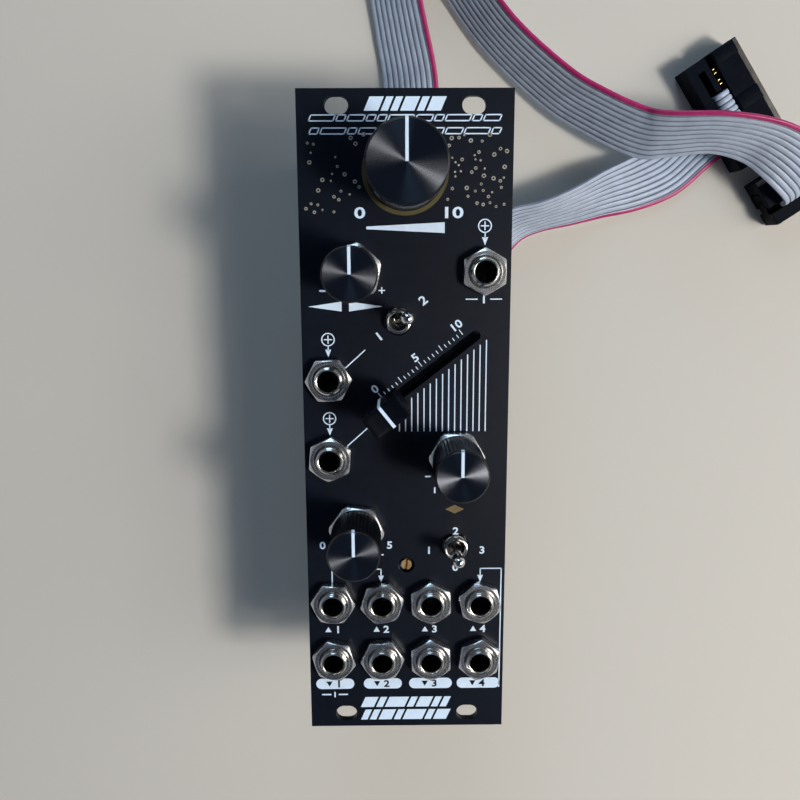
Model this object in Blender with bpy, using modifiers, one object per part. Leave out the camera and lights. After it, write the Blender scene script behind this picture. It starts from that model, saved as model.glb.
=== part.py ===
"""A modular synthesiser filter module, face up, with its flat power cable.

The frame is X to the panel's right, Y up the panel and Z out of the panel's front.
Z is zero at the surface on which the four rear capacitors stand.
"""
import math

import bmesh
import bpy
from mathutils import Matrix, Vector

MM = 0.001

# Clearances and cuts
GAP = 0.3 * MM
RUNNING_GAP = 0.35 * MM
OVERRUN = 1.0 * MM
SOLDER_DEPTH = 0.5 * MM
MERGE = 0.01 * MM

# Front panel
PANEL_WIDTH = 40.3 * MM
PANEL_HEIGHT = 128.5 * MM
PANEL_THICKNESS = 1.6 * MM
MOUNT_INSET_X = 7.45 * MM
MOUNT_INSET_Y = 3.0 * MM
MOUNT_SLOT_LENGTH = 4.4 * MM
MOUNT_SLOT_WIDTH = 3.3 * MM

# Circuit boards and the space between them
BOARD_WIDTH = 38.4 * MM
BOARD_HEIGHT = 110.4 * MM
BOARD_THICKNESS = 1.6 * MM
BOARD_SPACING = 6.2 * MM
PANEL_SPACING = 10.0 * MM

# Rows and columns of the controls on the panel
COLUMN_PITCH = 10.0 * MM
LARGE_KNOB_ROW = 49.6 * MM
UPPER_ROW = 31.0 * MM
UPPER_TOGGLE_ROW = 21.6 * MM
UPPER_TOGGLE_COLUMN = -1.4 * MM
LEFT_JACK_ROWS = (10.3 * MM, -5.5 * MM)
RIGHT_KNOB_ROW = -5.4 * MM
LEFT_KNOB_ROW = -20.4 * MM
LOWER_TOGGLE_ROW = -24.2 * MM
TRIMMER_ROW = -28.15 * MM
INPUT_ROW = -35.9 * MM
OUTPUT_ROW = -48.4 * MM

# Jack sockets
JACK_SPACE = 1.0 * MM
JACK_WIDTH = COLUMN_PITCH - JACK_SPACE
JACK_FRONT = 4.5 * MM
JACK_BACK = 5.9 * MM
JACK_FLOOR = 0.8 * MM
JACK_NUT_SPACE = 0.76 * MM
JACK_NUT_FLATS = (COLUMN_PITCH - JACK_NUT_SPACE) * math.sqrt(3) / 2
JACK_NUT_WALL = 1.0 * MM
JACK_NUT_HEIGHT = 1.9 * MM
JACK_BUSHING_RADIUS = JACK_NUT_FLATS / 2 - JACK_NUT_WALL
JACK_BUSHING_WALL = 1.2 * MM
JACK_BUSHING_REACH = 3.2 * MM
JACK_BUSHING_CHAMFER = 0.4 * MM
JACK_BORE_RADIUS = JACK_BUSHING_RADIUS - JACK_BUSHING_WALL
SPRING_WIDTH = 2.4 * MM
SPRING_THICKNESS = 0.3 * MM
SPRING_BAY_HEIGHT = 6.4 * MM
SPRING_BAY_WALL = 0.9 * MM

# Potentiometers
POT_WIDTH = 9.8 * MM
POT_FRONT = 4.8 * MM
POT_BACK = 6.5 * MM
POT_HEIGHT = 6.8 * MM
POT_BUSHING_RADIUS = 3.5 * MM
POT_BUSHING_REACH = 3.6 * MM
POT_BUSHING_CHAMFER = 0.3 * MM
POT_FLANGE_RADIUS = 4.6 * MM
POT_FLANGE_HEIGHT = 0.8 * MM
POT_NUT_FLATS = 10.0 * MM
POT_NUT_HEIGHT = 2.0 * MM
SHAFT_RADIUS = 2.6 * MM
SHAFT_DEPTH = 3.0 * MM
SHAFT_HEAD_RADIUS = 3.0 * MM

# Knobs, with heights above the panel
KNOB_LIFT = 3.0 * MM
KNOB_SKIRT_WALL = 0.8 * MM
KNOB_ROOF = 2.0 * MM
KNOB_CHAMFER = 0.5 * MM
SMALL_KNOB_RADIUS = 5.0 * MM
SMALL_KNOB_TOP_RADIUS = 4.7 * MM
SMALL_KNOB_TOP = 15.0 * MM
FLUTE_DEPTH = 0.22 * MM
FLUTE_COUNT = 30
LARGE_KNOB_RADIUS = 7.25 * MM
LARGE_KNOB_TOP_RADIUS = 6.85 * MM
LARGE_KNOB_TOP = 16.5 * MM

# Slide control
FADER_ANGLE = math.radians(38)
FADER_FROM_JACKS = 19.18 * MM
FADER_X = FADER_FROM_JACKS - 1.5 * COLUMN_PITCH
FADER_Y = 11.46 * MM
FADER_TRAVEL = 20.0 * MM
FADER_WIDTH = 7.0 * MM
FADER_HEIGHT = 6.5 * MM
FADER_WALL = 0.6 * MM
FADER_END_ROOM = 1.6 * MM
FADER_TRACK_HEIGHT = 1.0 * MM
FADER_SLIT_WIDTH = 1.7 * MM
FADER_SLOT_WIDTH = 2.0 * MM
FADER_BLADE_LENGTH = 3.4 * MM
FADER_BLADE_THICKNESS = 1.0 * MM
FADER_CARRIAGE_LENGTH = 5.6 * MM
FADER_CARRIAGE_HEIGHT = 2.4 * MM
FADER_LENGTH = FADER_TRAVEL + FADER_CARRIAGE_LENGTH + 2 * (FADER_END_ROOM + FADER_WALL)
CAP_LENGTH = 8.0 * MM
CAP_WIDTH = 4.8 * MM
CAP_LIFT = 4.0 * MM
CAP_HEIGHT = 9.0 * MM
CAP_WAIST = 0.7 * MM
CAP_ROOF = 1.4 * MM

# Toggle switches
TOGGLE_LENGTH = 10.0 * MM
TOGGLE_WIDTH = 5.0 * MM
TOGGLE_HEIGHT = 8.6 * MM
TOGGLE_BUSHING_RADIUS = 2.4 * MM
TOGGLE_BUSHING_REACH = 1.7 * MM
TOGGLE_BUSHING_CHAMFER = 0.3 * MM
TOGGLE_BORE_RADIUS = 1.65 * MM
TOGGLE_BALL_RADIUS = 1.3 * MM
TOGGLE_STEM_RADIUS = 0.75 * MM
TOGGLE_TIP_RADIUS = 1.25 * MM
TOGGLE_TAIL_RADIUS = 0.5 * MM
TOGGLE_TAIL = 3.4 * MM
TOGGLE_PIVOT_DEPTH = 0.6 * MM
TOGGLE_REACH = 9.6 * MM
TOGGLE_THROW = math.radians(25)

# Screwdriver trimmer
TRIMMER_LENGTH = 9.5 * MM
TRIMMER_DEPTH = 4.5 * MM
TRIMMER_END_MARGIN = 1.45 * MM
TRIMMER_BACK_MARGIN = 1.7 * MM
TRIMMER_SCREW_RADIUS = 1.15 * MM
TRIMMER_SCREW_SEAT = 1.8 * MM
TRIMMER_SCREW_RECESS = 0.2 * MM
TRIMMER_HOLE_RADIUS = 1.6 * MM
SCREW_SLOT_WIDTH = 0.5 * MM
SCREW_SLOT_DEPTH = 0.6 * MM

# Standoffs between the boards
STANDOFF_PLACES = {
    "upper": (2.5 * MM, 36.0 * MM),
    "lower": (0.0, -13.0 * MM),
}
STANDOFF_FLATS = 5.5 * MM
STANDOFF_SCREW_RADIUS = 1.5 * MM
STANDOFF_HEAD_RADIUS = 2.75 * MM
STANDOFF_HEAD_HEIGHT = 1.9 * MM

# Pin rows that join the boards
PIN_PITCH = 2.54 * MM
PIN_SIDE = 0.64 * MM
PIN_COUNT = 8
PIN_ROW_INSET = 2.6 * MM
PIN_ROW_Y = -13.0 * MM
PIN_ROW_WIDTH = 2.5 * MM
PIN_BASE_HEIGHT = 2.4 * MM
PIN_HOLE_SIDE = 1.3 * MM
PIN_DEPTH = 2.2 * MM

# Parts on the rear of the main board
CAPACITOR_HEIGHT = 13.0 * MM
CAPACITOR_RADIUS = 3.15 * MM
CAPACITOR_EDGE = 0.4 * MM
CAPACITOR_GROOVE_RISE = 1.2 * MM
CAPACITOR_PLACES = (
    (15.8 * MM, 51.5 * MM),
    (-15.8 * MM, 51.5 * MM),
    (11.0 * MM, -48.0 * MM),
    (-11.0 * MM, -48.0 * MM),
)
CHIP_LENGTH = 9.9 * MM
CHIP_WIDTH = 3.9 * MM
CHIP_HEIGHT = 1.7 * MM
CHIP_COLUMN = 9.5 * MM
CHIP_ROWS = (22.0 * MM, 9.0 * MM, -26.0 * MM)

# Power header
HEADER_X = 2.0 * MM
HEADER_Y = 46.5 * MM
HEADER_LENGTH = 20.3 * MM
HEADER_WIDTH = 8.9 * MM
HEADER_HEIGHT = 9.0 * MM
HEADER_WALL = 1.1 * MM
HEADER_FLOOR = 2.5 * MM
HEADER_KEY_WIDTH = 4.5 * MM

# Ribbon plugs
PLUG_THICKNESS = 6.1 * MM
PLUG_END_MARGIN = 2.3 * MM
PLUG_BODY_HEIGHT = 6.2 * MM
PLUG_CAP_HEIGHT = 2.8 * MM
MODULE_CAP_HEIGHT = 2.0 * MM
LATCH_LENGTH = 3.4 * MM
LATCH_WIDTH = 3.0 * MM
LATCH_THICKNESS = 1.0 * MM
CONTACT_HOLE_SIDE = 1.3 * MM
CONTACT_HOLE_DEPTH = 4.8 * MM
RELIEF_HEIGHT = 2.2 * MM
RELIEF_SLOT_WALL = 1.3 * MM
MODULE_PLUG_COLUMNS = 5
BUS_PLUG_COLUMNS = 8

# Flat cable
RIBBON_WIDTH = 12.7 * MM
RIBBON_THICKNESS = 0.9 * MM
FOLD_RADIUS = 1.3 * MM
FOLD_X = 2.0 * MM
FOLD_Y = 36.6 * MM
FOLD_ROWS = 18
FOLD_STRANDS = 4
ROWS_PER_STATION = 2

# Heights, from the supporting surface up
MAIN_REAR = CAPACITOR_HEIGHT
MAIN_FRONT = MAIN_REAR + BOARD_THICKNESS
CONTROL_REAR = MAIN_FRONT + BOARD_SPACING
CONTROL_FRONT = CONTROL_REAR + BOARD_THICKNESS
COMPONENT_BASE = CONTROL_FRONT + GAP
PANEL_REAR = CONTROL_FRONT + PANEL_SPACING
PANEL_FRONT = PANEL_REAR + PANEL_THICKNESS
RIBBON_LEVEL = MAIN_REAR - HEADER_FLOOR - PLUG_BODY_HEIGHT - 3 * GAP - RIBBON_THICKNESS / 2

# Degrees that each nut stopped at when it was tightened, from one corner pointing up the panel
INPUT_NUT_TURNS = (27, -18, 2, 12)
OUTPUT_NUT_TURNS = (18, -26, 2, -8)

# Places of the repeated controls. A jack's third value is the turn of its nut
JACK_PLACES = {
    "upper_right": (1.5 * COLUMN_PITCH, UPPER_ROW, 0),
    "left_upper": (-1.5 * COLUMN_PITCH, LEFT_JACK_ROWS[0], -27),
    "left_lower": (-1.5 * COLUMN_PITCH, LEFT_JACK_ROWS[1], -5),
}
for column in range(4):
    across = (column - 1.5) * COLUMN_PITCH
    JACK_PLACES[f"input_{column + 1}"] = (across, INPUT_ROW, INPUT_NUT_TURNS[column])
    JACK_PLACES[f"output_{column + 1}"] = (across, OUTPUT_ROW, OUTPUT_NUT_TURNS[column])

# A potentiometer's third value turns its pins up or down the panel. Its fourth is the turn of its nut
POT_PLACES = {
    "large": (0.0, LARGE_KNOB_ROW, math.pi, 0),
    "upper": (-COLUMN_PITCH, UPPER_ROW, 0.0, -12),
    "right": (COLUMN_PITCH, RIGHT_KNOB_ROW, 0.0, 30),
    "left": (-COLUMN_PITCH, LEFT_KNOB_ROW, 0.0, 24),
}

# A toggle's third and fourth values are the direction of its throw and its lean at rest
TOGGLE_PLACES = {
    "two_way": (UPPER_TOGGLE_COLUMN, UPPER_TOGGLE_ROW, FADER_ANGLE, TOGGLE_THROW / 2),
    "three_way": (COLUMN_PITCH, LOWER_TOGGLE_ROW, 0.0, 0.0),
}

# Stations of the cable's routes, in metres: x, y, z, then in degrees the heading
# and the rise of the line across the ribbon to its marked edge
LOOP_ROUTE = (
    (0.0020, 0.0498, 0.00295, 0, 0),
    (0.0020, 0.0540, 0.00295, 0, 0),
    (0.0020, 0.0600, 0.00300, 3, 9),
    (0.0016, 0.0715, 0.00340, 8, 22),
    (-0.0002, 0.0811, 0.00420, 8, 30),
    (-0.0017, 0.0892, 0.00490, 8, 34),
    (-0.0024, 0.0970, 0.00480, 6, 26),
    (-0.0020, 0.1042, 0.00380, 4, 14),
    (-0.0006, 0.1105, 0.00350, 2, 4),
    (0.0010, 0.1155, 0.00640, 2, 0),
    (0.0024, 0.1172, 0.01120, 4, 0),
    (0.0041, 0.1146, 0.01560, 8, 4),
    (0.0062, 0.1090, 0.01620, 14, 12),
    (0.0084, 0.1025, 0.01300, 24, 28),
    (0.0103, 0.0966, 0.00900, 33, 44),
    (0.0124, 0.0909, 0.00630, 39, 54),
    (0.0206, 0.0799, 0.00690, 44, 57),
    (0.0327, 0.0692, 0.00760, 51, 54),
    (0.0411, 0.0639, 0.00900, 58, 52),
    (0.0497, 0.0597, 0.01080, 70, 49),
    (0.0552, 0.0587, 0.01310, 84, 52),
    (0.0653, 0.0587, 0.01560, 86, 58),
    (0.0741, 0.0570, 0.01570, 68, 52),
    (0.0808, 0.0537, 0.01500, 54, 34),
    (0.0862, 0.0502, 0.01250, 42, 14),
    (0.0886, 0.0483, 0.00940, 34, 3),
    (0.0889, 0.0479, 0.00670, 33, 0),
)
BUS_ROUTE = (
    (0.0125, 0.0337, 0.00555, -90, 0),
    (0.0166, 0.0349, 0.00590, -82, -16),
    (0.0210, 0.0379, 0.00620, -72, -38),
    (0.0256, 0.0407, 0.00610, -72, -54),
    (0.0309, 0.0423, 0.00620, -76, -60),
    (0.0380, 0.0445, 0.00590, -74, -52),
    (0.0454, 0.0473, 0.00490, -70, -38),
    (0.0525, 0.0496, 0.00310, -68, -22),
    (0.0591, 0.0526, 0.00170, -60, -7),
    (0.0640, 0.0569, 0.00090, -54, 0),
    (0.0663, 0.0589, 0.00080, -54, 0),
    (0.0683, 0.0604, 0.00080, -56, 0),
)

# Ribbon plane's centre in each loose plug, its mating direction and its length
BUS_PLUG_PLACE = (0.0723, 0.0655, 0.0034)
BUS_PLUG_MATING = (0.829, 0.559, 0.0)
BUS_PLUG_ALONG = (0.559, -0.829, 0.0)
END_PLUG_PLACE = (0.0889, 0.0479, 0.0034)
END_PLUG_MATING = (-0.545, 0.839, 0.0)
END_PLUG_ALONG = (0.839, 0.545, 0.0)

# Colour, roughness and metallic value of each finish
FINISHES = {
    "panel_black": ((0.018, 0.02, 0.026), 0.5, 0.0),
    "board_green": ((0.02, 0.09, 0.045), 0.45, 0.0),
    "nickel": ((0.62, 0.6, 0.57), 0.25, 1.0),
    "brass": ((0.66, 0.45, 0.18), 0.32, 1.0),
    "steel": ((0.5, 0.5, 0.5), 0.35, 1.0),
    "black_plastic": ((0.02, 0.02, 0.022), 0.5, 0.0),
    "black_anodised": ((0.03, 0.03, 0.034), 0.3, 0.8),
    "blue_plastic": ((0.03, 0.1, 0.32), 0.45, 0.0),
    "ribbon_grey": ((0.5, 0.52, 0.55), 0.5, 0.0),
}


def start_scene():
    """Clears the scene and makes the collections of parts and of cutters."""
    for old in list(bpy.data.objects):
        bpy.data.objects.remove(old, do_unlink=True)
    collections = []
    for name in ("filter_module", "cutters"):
        collection = bpy.data.collections.new(name)
        bpy.context.scene.collection.children.link(collection)
        collections.append(collection)
    return collections


PARTS, CUTTERS = start_scene()


# Building blocks

def add_object(name, mesh, place=(0, 0, 0), turn=0.0):
    piece = bpy.data.objects.new(name, mesh)
    PARTS.objects.link(piece)
    piece.location = place
    piece.rotation_euler.z = turn
    return piece


def from_bmesh(name, shape, place=(0, 0, 0), turn=0.0):
    mesh = bpy.data.meshes.new(name)
    shape.to_mesh(mesh)
    shape.free()
    return add_object(name, mesh, place, turn)


def block(name, length, width, low, high, offset=(0, 0), place=(0, 0, 0), turn=0.0):
    """A box of a length in X and a width in Y between two heights, about a local offset."""
    shape = bmesh.new()
    bmesh.ops.create_cube(shape, size=1.0)
    bmesh.ops.scale(shape, vec=(length, width, high - low), verts=shape.verts)
    bmesh.ops.translate(shape, vec=(*offset, (low + high) / 2), verts=shape.verts)
    return from_bmesh(name, shape, place, turn)


def rod(name, radius, low, high, sides, place=(0, 0, 0), turn=0.0):
    """A cylinder along Z between two heights. With six sides it is a hexagonal bar."""
    shape = bmesh.new()
    bmesh.ops.create_cone(shape, cap_ends=True, segments=sides, radius1=radius, radius2=radius,
                          depth=high - low)
    bmesh.ops.translate(shape, vec=(0, 0, (low + high) / 2), verts=shape.verts)
    return from_bmesh(name, shape, place, turn)


def turned(name, profile, sides, place=(0, 0, 0)):
    """A profile of (radius, height) points that starts and ends on Z, turned about it."""
    mesh = bpy.data.meshes.new(name)
    edges = [(index, index + 1) for index in range(len(profile) - 1)]
    mesh.from_pydata([(radius, 0, height) for radius, height in profile], edges, [])
    piece = add_object(name, mesh, place)
    screw = piece.modifiers.new("turn", "SCREW")
    screw.steps = sides
    screw.render_steps = sides
    screw.use_merge_vertices = True
    screw.merge_threshold = MERGE
    return piece


def evaluated_mesh(piece):
    """The mesh that a piece's modifiers make, without its transform."""
    depsgraph = bpy.context.evaluated_depsgraph_get()
    depsgraph.update()
    return bpy.data.meshes.new_from_object(piece.evaluated_get(depsgraph))


def slot(name, length, width, low, high, place, turn=0.0, steps=5):
    """A bar with round ends along X between two heights, from a flat curve made a mesh."""
    curve = bpy.data.curves.new(name, "CURVE")
    curve.dimensions = "2D"
    curve.fill_mode = "BOTH"
    curve.extrude = (high - low) / 2
    outline = []
    for end in (1, -1):
        for step in range(steps + 1):
            angle = math.pi * (step / steps - 1 / 2)
            reach = (length - width) / 2 + width / 2 * math.cos(angle)
            outline.append((end * reach, end * width / 2 * math.sin(angle)))
    spline = curve.splines.new("POLY")
    spline.points.add(len(outline) - 1)
    for point, (x, y) in zip(spline.points, outline):
        point.co = (x, y, 0, 1)
    spline.use_cyclic_u = True
    flat = add_object(name, curve)
    shape = bmesh.new()
    shape.from_mesh(evaluated_mesh(flat))
    bpy.data.objects.remove(flat, do_unlink=True)
    bmesh.ops.remove_doubles(shape, verts=shape.verts, dist=MERGE)
    bmesh.ops.recalc_face_normals(shape, faces=shape.faces)
    bmesh.ops.translate(shape, vec=(0, 0, (low + high) / 2), verts=shape.verts)
    return from_bmesh(name, shape, place, turn)


def stacked_rings(name, rings, place, turn=0.0):
    """A closed solid through rings of points, from its base up to its top."""
    shape = bmesh.new()
    rows = [[shape.verts.new(point) for point in ring] for ring in rings]
    for lower, upper in zip(rows, rows[1:]):
        for index in range(len(lower)):
            after = (index + 1) % len(lower)
            shape.faces.new((lower[index], lower[after], upper[after], upper[index]))
    shape.faces.new(rows[-1])
    shape.faces.new(list(reversed(rows[0])))
    return from_bmesh(name, shape, place, turn)


def combine(piece, tools, operation="DIFFERENCE"):
    """Cuts the tools from a piece, or joins them to it. The tools become its hidden cutters."""
    for tool in tools:
        boolean = piece.modifiers.new(tool.name, "BOOLEAN")
        boolean.operation = operation
        boolean.object = tool
        tool.hide_render = True
        tool.display_type = "WIRE"
        PARTS.objects.unlink(tool)
        CUTTERS.objects.link(tool)
        tool.parent = piece
    return piece


def finish_piece(piece, finish):
    """Shades a piece smooth up to its sharp edges and gives it its own Principled material."""
    colour, roughness, metallic = FINISHES[finish]
    piece.data.shade_smooth()
    piece.data.set_sharp_from_angle(angle=math.radians(35))
    material = bpy.data.materials.new(piece.name)
    material.use_nodes = True
    shader = material.node_tree.nodes["Principled BSDF"]
    shader.inputs["Base Color"].default_value = (*colour, 1.0)
    shader.inputs["Roughness"].default_value = roughness
    shader.inputs["Metallic"].default_value = metallic
    material.diffuse_color = (*colour, 1.0)
    piece.data.materials.append(material)
    return piece


def hex_radius(flats):
    """The corner radius of a hexagon from its width across flats."""
    return flats / math.sqrt(3)


def make_nut(name, flats, height, bushing, sides, place, turn):
    """A hexagonal nut on the panel round a bushing of a given radius, turned by some degrees."""
    low = PANEL_FRONT + GAP
    nut = rod(name, hex_radius(flats), low, low + height, 6, place, math.radians(turn))
    combine(nut, [rod("nut_bore_cut", bushing + RUNNING_GAP, low - OVERRUN, low + height + OVERRUN,
                      sides)])
    finish_piece(nut, "nickel")


def pin_offsets(count):
    return [(index - (count - 1) / 2) * PIN_PITCH for index in range(count)]


# Panel and boards

def make_front_panel():
    panel = block("front_panel", PANEL_WIDTH, PANEL_HEIGHT, PANEL_REAR, PANEL_FRONT)
    low, high = PANEL_REAR - OVERRUN, PANEL_FRONT + OVERRUN
    mount_x, mount_y = PANEL_WIDTH / 2 - MOUNT_INSET_X, PANEL_HEIGHT / 2 - MOUNT_INSET_Y
    cuts = []
    for side in (-1, 1):
        for end in (-1, 1):
            place = (side * mount_x, end * mount_y, 0)
            cuts.append(slot("mount_slot_cut", MOUNT_SLOT_LENGTH, MOUNT_SLOT_WIDTH, low, high, place))
    for bushing, sides, places in ((JACK_BUSHING_RADIUS, 12, JACK_PLACES),
                                   (POT_BUSHING_RADIUS, 16, POT_PLACES),
                                   (TOGGLE_BUSHING_RADIUS, 16, TOGGLE_PLACES)):
        for x, y, *_ in places.values():
            cuts.append(rod("bushing_hole_cut", bushing + RUNNING_GAP, low, high, sides, (x, y, 0)))
    cuts.append(rod("trimmer_hole_cut", TRIMMER_HOLE_RADIUS, low, high, 14, (0, TRIMMER_ROW, 0)))
    fader_slot = FADER_TRAVEL + FADER_BLADE_LENGTH + FADER_SLOT_WIDTH / 2
    cuts.append(slot("fader_slot_cut", fader_slot, FADER_SLOT_WIDTH, low, high, (FADER_X, FADER_Y, 0),
                     FADER_ANGLE))
    combine(panel, cuts)
    finish_piece(panel, "panel_black")


def make_board(name, low, soldered):
    """A circuit board with the small parts that are soldered on it."""
    high = low + BOARD_THICKNESS
    board = block(name, BOARD_WIDTH, BOARD_HEIGHT, low, high)
    combine(board, soldered, "UNION")
    radius = STANDOFF_SCREW_RADIUS + RUNNING_GAP
    combine(board, [rod("standoff_hole_cut", radius, low - OVERRUN, high + OVERRUN, 16, (x, y, 0))
                    for x, y in STANDOFF_PLACES.values()])
    finish_piece(board, "board_green")


def pin_row_columns():
    column = BOARD_WIDTH / 2 - PIN_ROW_INSET
    return (-column, column)


def pin_header_tools():
    """Two rows of pins under the control board."""
    low = CONTROL_REAR - PIN_BASE_HEIGHT
    tools = []
    for x in pin_row_columns():
        tools.append(block("pin_header_tool", PIN_ROW_WIDTH, PIN_COUNT * PIN_PITCH, low,
                           CONTROL_REAR + SOLDER_DEPTH, (x, PIN_ROW_Y)))
        for offset in pin_offsets(PIN_COUNT):
            tools.append(block("pin_tool", PIN_SIDE, PIN_SIDE, low - PIN_DEPTH, low + SOLDER_DEPTH,
                               (x, PIN_ROW_Y + offset)))
    return tools


def socket_tools():
    """Two sockets on the main board that take the control board's pins."""
    high = CONTROL_REAR - PIN_BASE_HEIGHT - GAP
    floor = high - PIN_DEPTH - GAP
    tools = []
    for x in pin_row_columns():
        socket = block("socket_tool", PIN_ROW_WIDTH, PIN_COUNT * PIN_PITCH,
                       MAIN_FRONT - SOLDER_DEPTH, high, (x, PIN_ROW_Y))
        combine(socket, [block("pin_hole_cut", PIN_HOLE_SIDE, PIN_HOLE_SIDE, floor, high + OVERRUN,
                               (x, PIN_ROW_Y + offset)) for offset in pin_offsets(PIN_COUNT)])
        tools.append(socket)
    return tools


def rear_component_tools():
    """Capacitors and chips under the main board."""
    radius, edge = CAPACITOR_RADIUS, CAPACITOR_EDGE
    groove = MAIN_REAR - CAPACITOR_GROOVE_RISE
    low = MAIN_REAR - CAPACITOR_HEIGHT
    tools = []
    for x, y in CAPACITOR_PLACES:
        tools.append(turned("capacitor_tool", [
            (0, MAIN_REAR + SOLDER_DEPTH), (radius - edge, MAIN_REAR + SOLDER_DEPTH),
            (radius - edge, MAIN_REAR), (radius, MAIN_REAR - edge), (radius, groove),
            (radius - edge, groove - edge), (radius, groove - 2 * edge), (radius, low + edge),
            (radius - edge, low), (0, low)], 16, (x, y, 0)))
    for y in CHIP_ROWS:
        for x in (-CHIP_COLUMN, CHIP_COLUMN):
            tools.append(block("chip_tool", CHIP_WIDTH, CHIP_LENGTH, MAIN_REAR - CHIP_HEIGHT,
                               MAIN_REAR + SOLDER_DEPTH, (x, y)))
    return tools


def make_standoffs():
    """Hexagonal pillars between the boards, each with a screw from the front and one from the rear."""
    low, high = MAIN_FRONT + GAP, CONTROL_REAR - GAP
    front, rear = CONTROL_FRONT + GAP, MAIN_REAR - GAP
    shank, rim, head = STANDOFF_SCREW_RADIUS, STANDOFF_HEAD_RADIUS, STANDOFF_HEAD_HEIGHT
    for name, (x, y) in STANDOFF_PLACES.items():
        pillar = rod(f"board_standoff_{name}", hex_radius(STANDOFF_FLATS), low, high, 6, (x, y, 0))
        screws = turned("standoff_screw_tool", [
            (0, front + head), (rim / 2, front + head), (rim, front + head / 2), (rim, front),
            (shank, front), (shank, rear), (rim, rear), (rim, rear - head / 2), (rim / 2, rear - head),
            (0, rear - head)], 12)
        combine(pillar, [screws], "UNION")
        finish_piece(pillar, "nickel")


# Jacks

def make_jack(name, x, y, nut_turn):
    """A jack: a housing whose metal bushing passes through the panel, and a spring behind its bore."""
    low, top = COMPONENT_BASE, PANEL_REAR - GAP
    length = JACK_FRONT + JACK_BACK
    jack = block(f"jack_{name}", JACK_WIDTH, length, low, top, (0, (JACK_FRONT - JACK_BACK) / 2),
                 (x, y, 0))
    rim = PANEL_FRONT + JACK_BUSHING_REACH
    bushing = turned("jack_bushing_tool", [
        (0, rim), (JACK_BUSHING_RADIUS - JACK_BUSHING_CHAMFER, rim),
        (JACK_BUSHING_RADIUS, rim - JACK_BUSHING_CHAMFER), (JACK_BUSHING_RADIUS, top - OVERRUN),
        (0, top - OVERRUN)], 18)
    combine(jack, [bushing], "UNION")
    bore = rod("jack_bore_cut", JACK_BORE_RADIUS, low + JACK_FLOOR, rim + OVERRUN, 18)
    bay_length = JACK_BACK - SPRING_BAY_WALL
    bay = block("spring_bay_cut", SPRING_WIDTH + 2 * GAP, bay_length, low - OVERRUN,
                low + SPRING_BAY_HEIGHT, (0, -bay_length / 2))
    combine(jack, [bore, bay])
    combine(jack, [jack_spring()], "UNION")
    finish_piece(jack, "black_plastic")
    make_nut(f"jack_nut_{name}", JACK_NUT_FLATS, JACK_NUT_HEIGHT, JACK_BUSHING_RADIUS, 18, (x, y, 0),
             nut_turn)


def jack_spring():
    """A strip that leaves the bay's back wall and bends down to meet the tip of a plug."""
    wall = SPRING_BAY_WALL - JACK_BACK
    contact = -JACK_BORE_RADIUS - GAP
    top = COMPONENT_BASE + SPRING_BAY_HEIGHT - GAP
    bend = top - SPRING_BAY_HEIGHT / 2
    thick = SPRING_THICKNESS
    side = [(wall - thick, top), (contact - 2 * thick, top), (contact, bend),
            (contact - 2 * thick, bend - 2 * thick), (contact - thick, bend),
            (contact - 3 * thick, top - thick), (wall - thick, top - thick)]
    rings = [[(end * SPRING_WIDTH / 2, y, z) for y, z in side] for end in (-1, 1)]
    strip = stacked_rings("jack_spring_tool", rings, (0, 0, 0))
    return outward(strip)


def outward(piece):
    """Turns a piece's faces to point out."""
    shape = bmesh.new()
    shape.from_mesh(piece.data)
    bmesh.ops.recalc_face_normals(shape, faces=shape.faces)
    shape.to_mesh(piece.data)
    shape.free()
    return piece


# Potentiometers and knobs

def make_pot(name, x, y, turn, nut_turn):
    """A potentiometer's body with its threaded bushing, and the nut that holds it to the panel."""
    low = COMPONENT_BASE
    top = low + POT_HEIGHT
    body = block(f"pot_body_{name}", POT_WIDTH, POT_FRONT + POT_BACK, low, top,
                 (0, (POT_BACK - POT_FRONT) / 2), (x, y, 0), turn)
    rim = PANEL_FRONT + POT_BUSHING_REACH
    flange = top + POT_FLANGE_HEIGHT
    bushing = turned("pot_bushing_tool", [
        (0, rim), (POT_BUSHING_RADIUS - POT_BUSHING_CHAMFER, rim),
        (POT_BUSHING_RADIUS, rim - POT_BUSHING_CHAMFER), (POT_BUSHING_RADIUS, flange),
        (POT_FLANGE_RADIUS, flange), (POT_FLANGE_RADIUS, top - OVERRUN), (0, top - OVERRUN)], 20)
    combine(body, [bushing], "UNION")
    combine(body, [rod("pot_bore_cut", SHAFT_RADIUS + GAP, top - SHAFT_DEPTH, rim + OVERRUN, 20)])
    finish_piece(body, "steel")
    make_nut(f"pot_nut_{name}", POT_NUT_FLATS, POT_NUT_HEIGHT, POT_BUSHING_RADIUS, 20, (x, y, 0),
             nut_turn)


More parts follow.
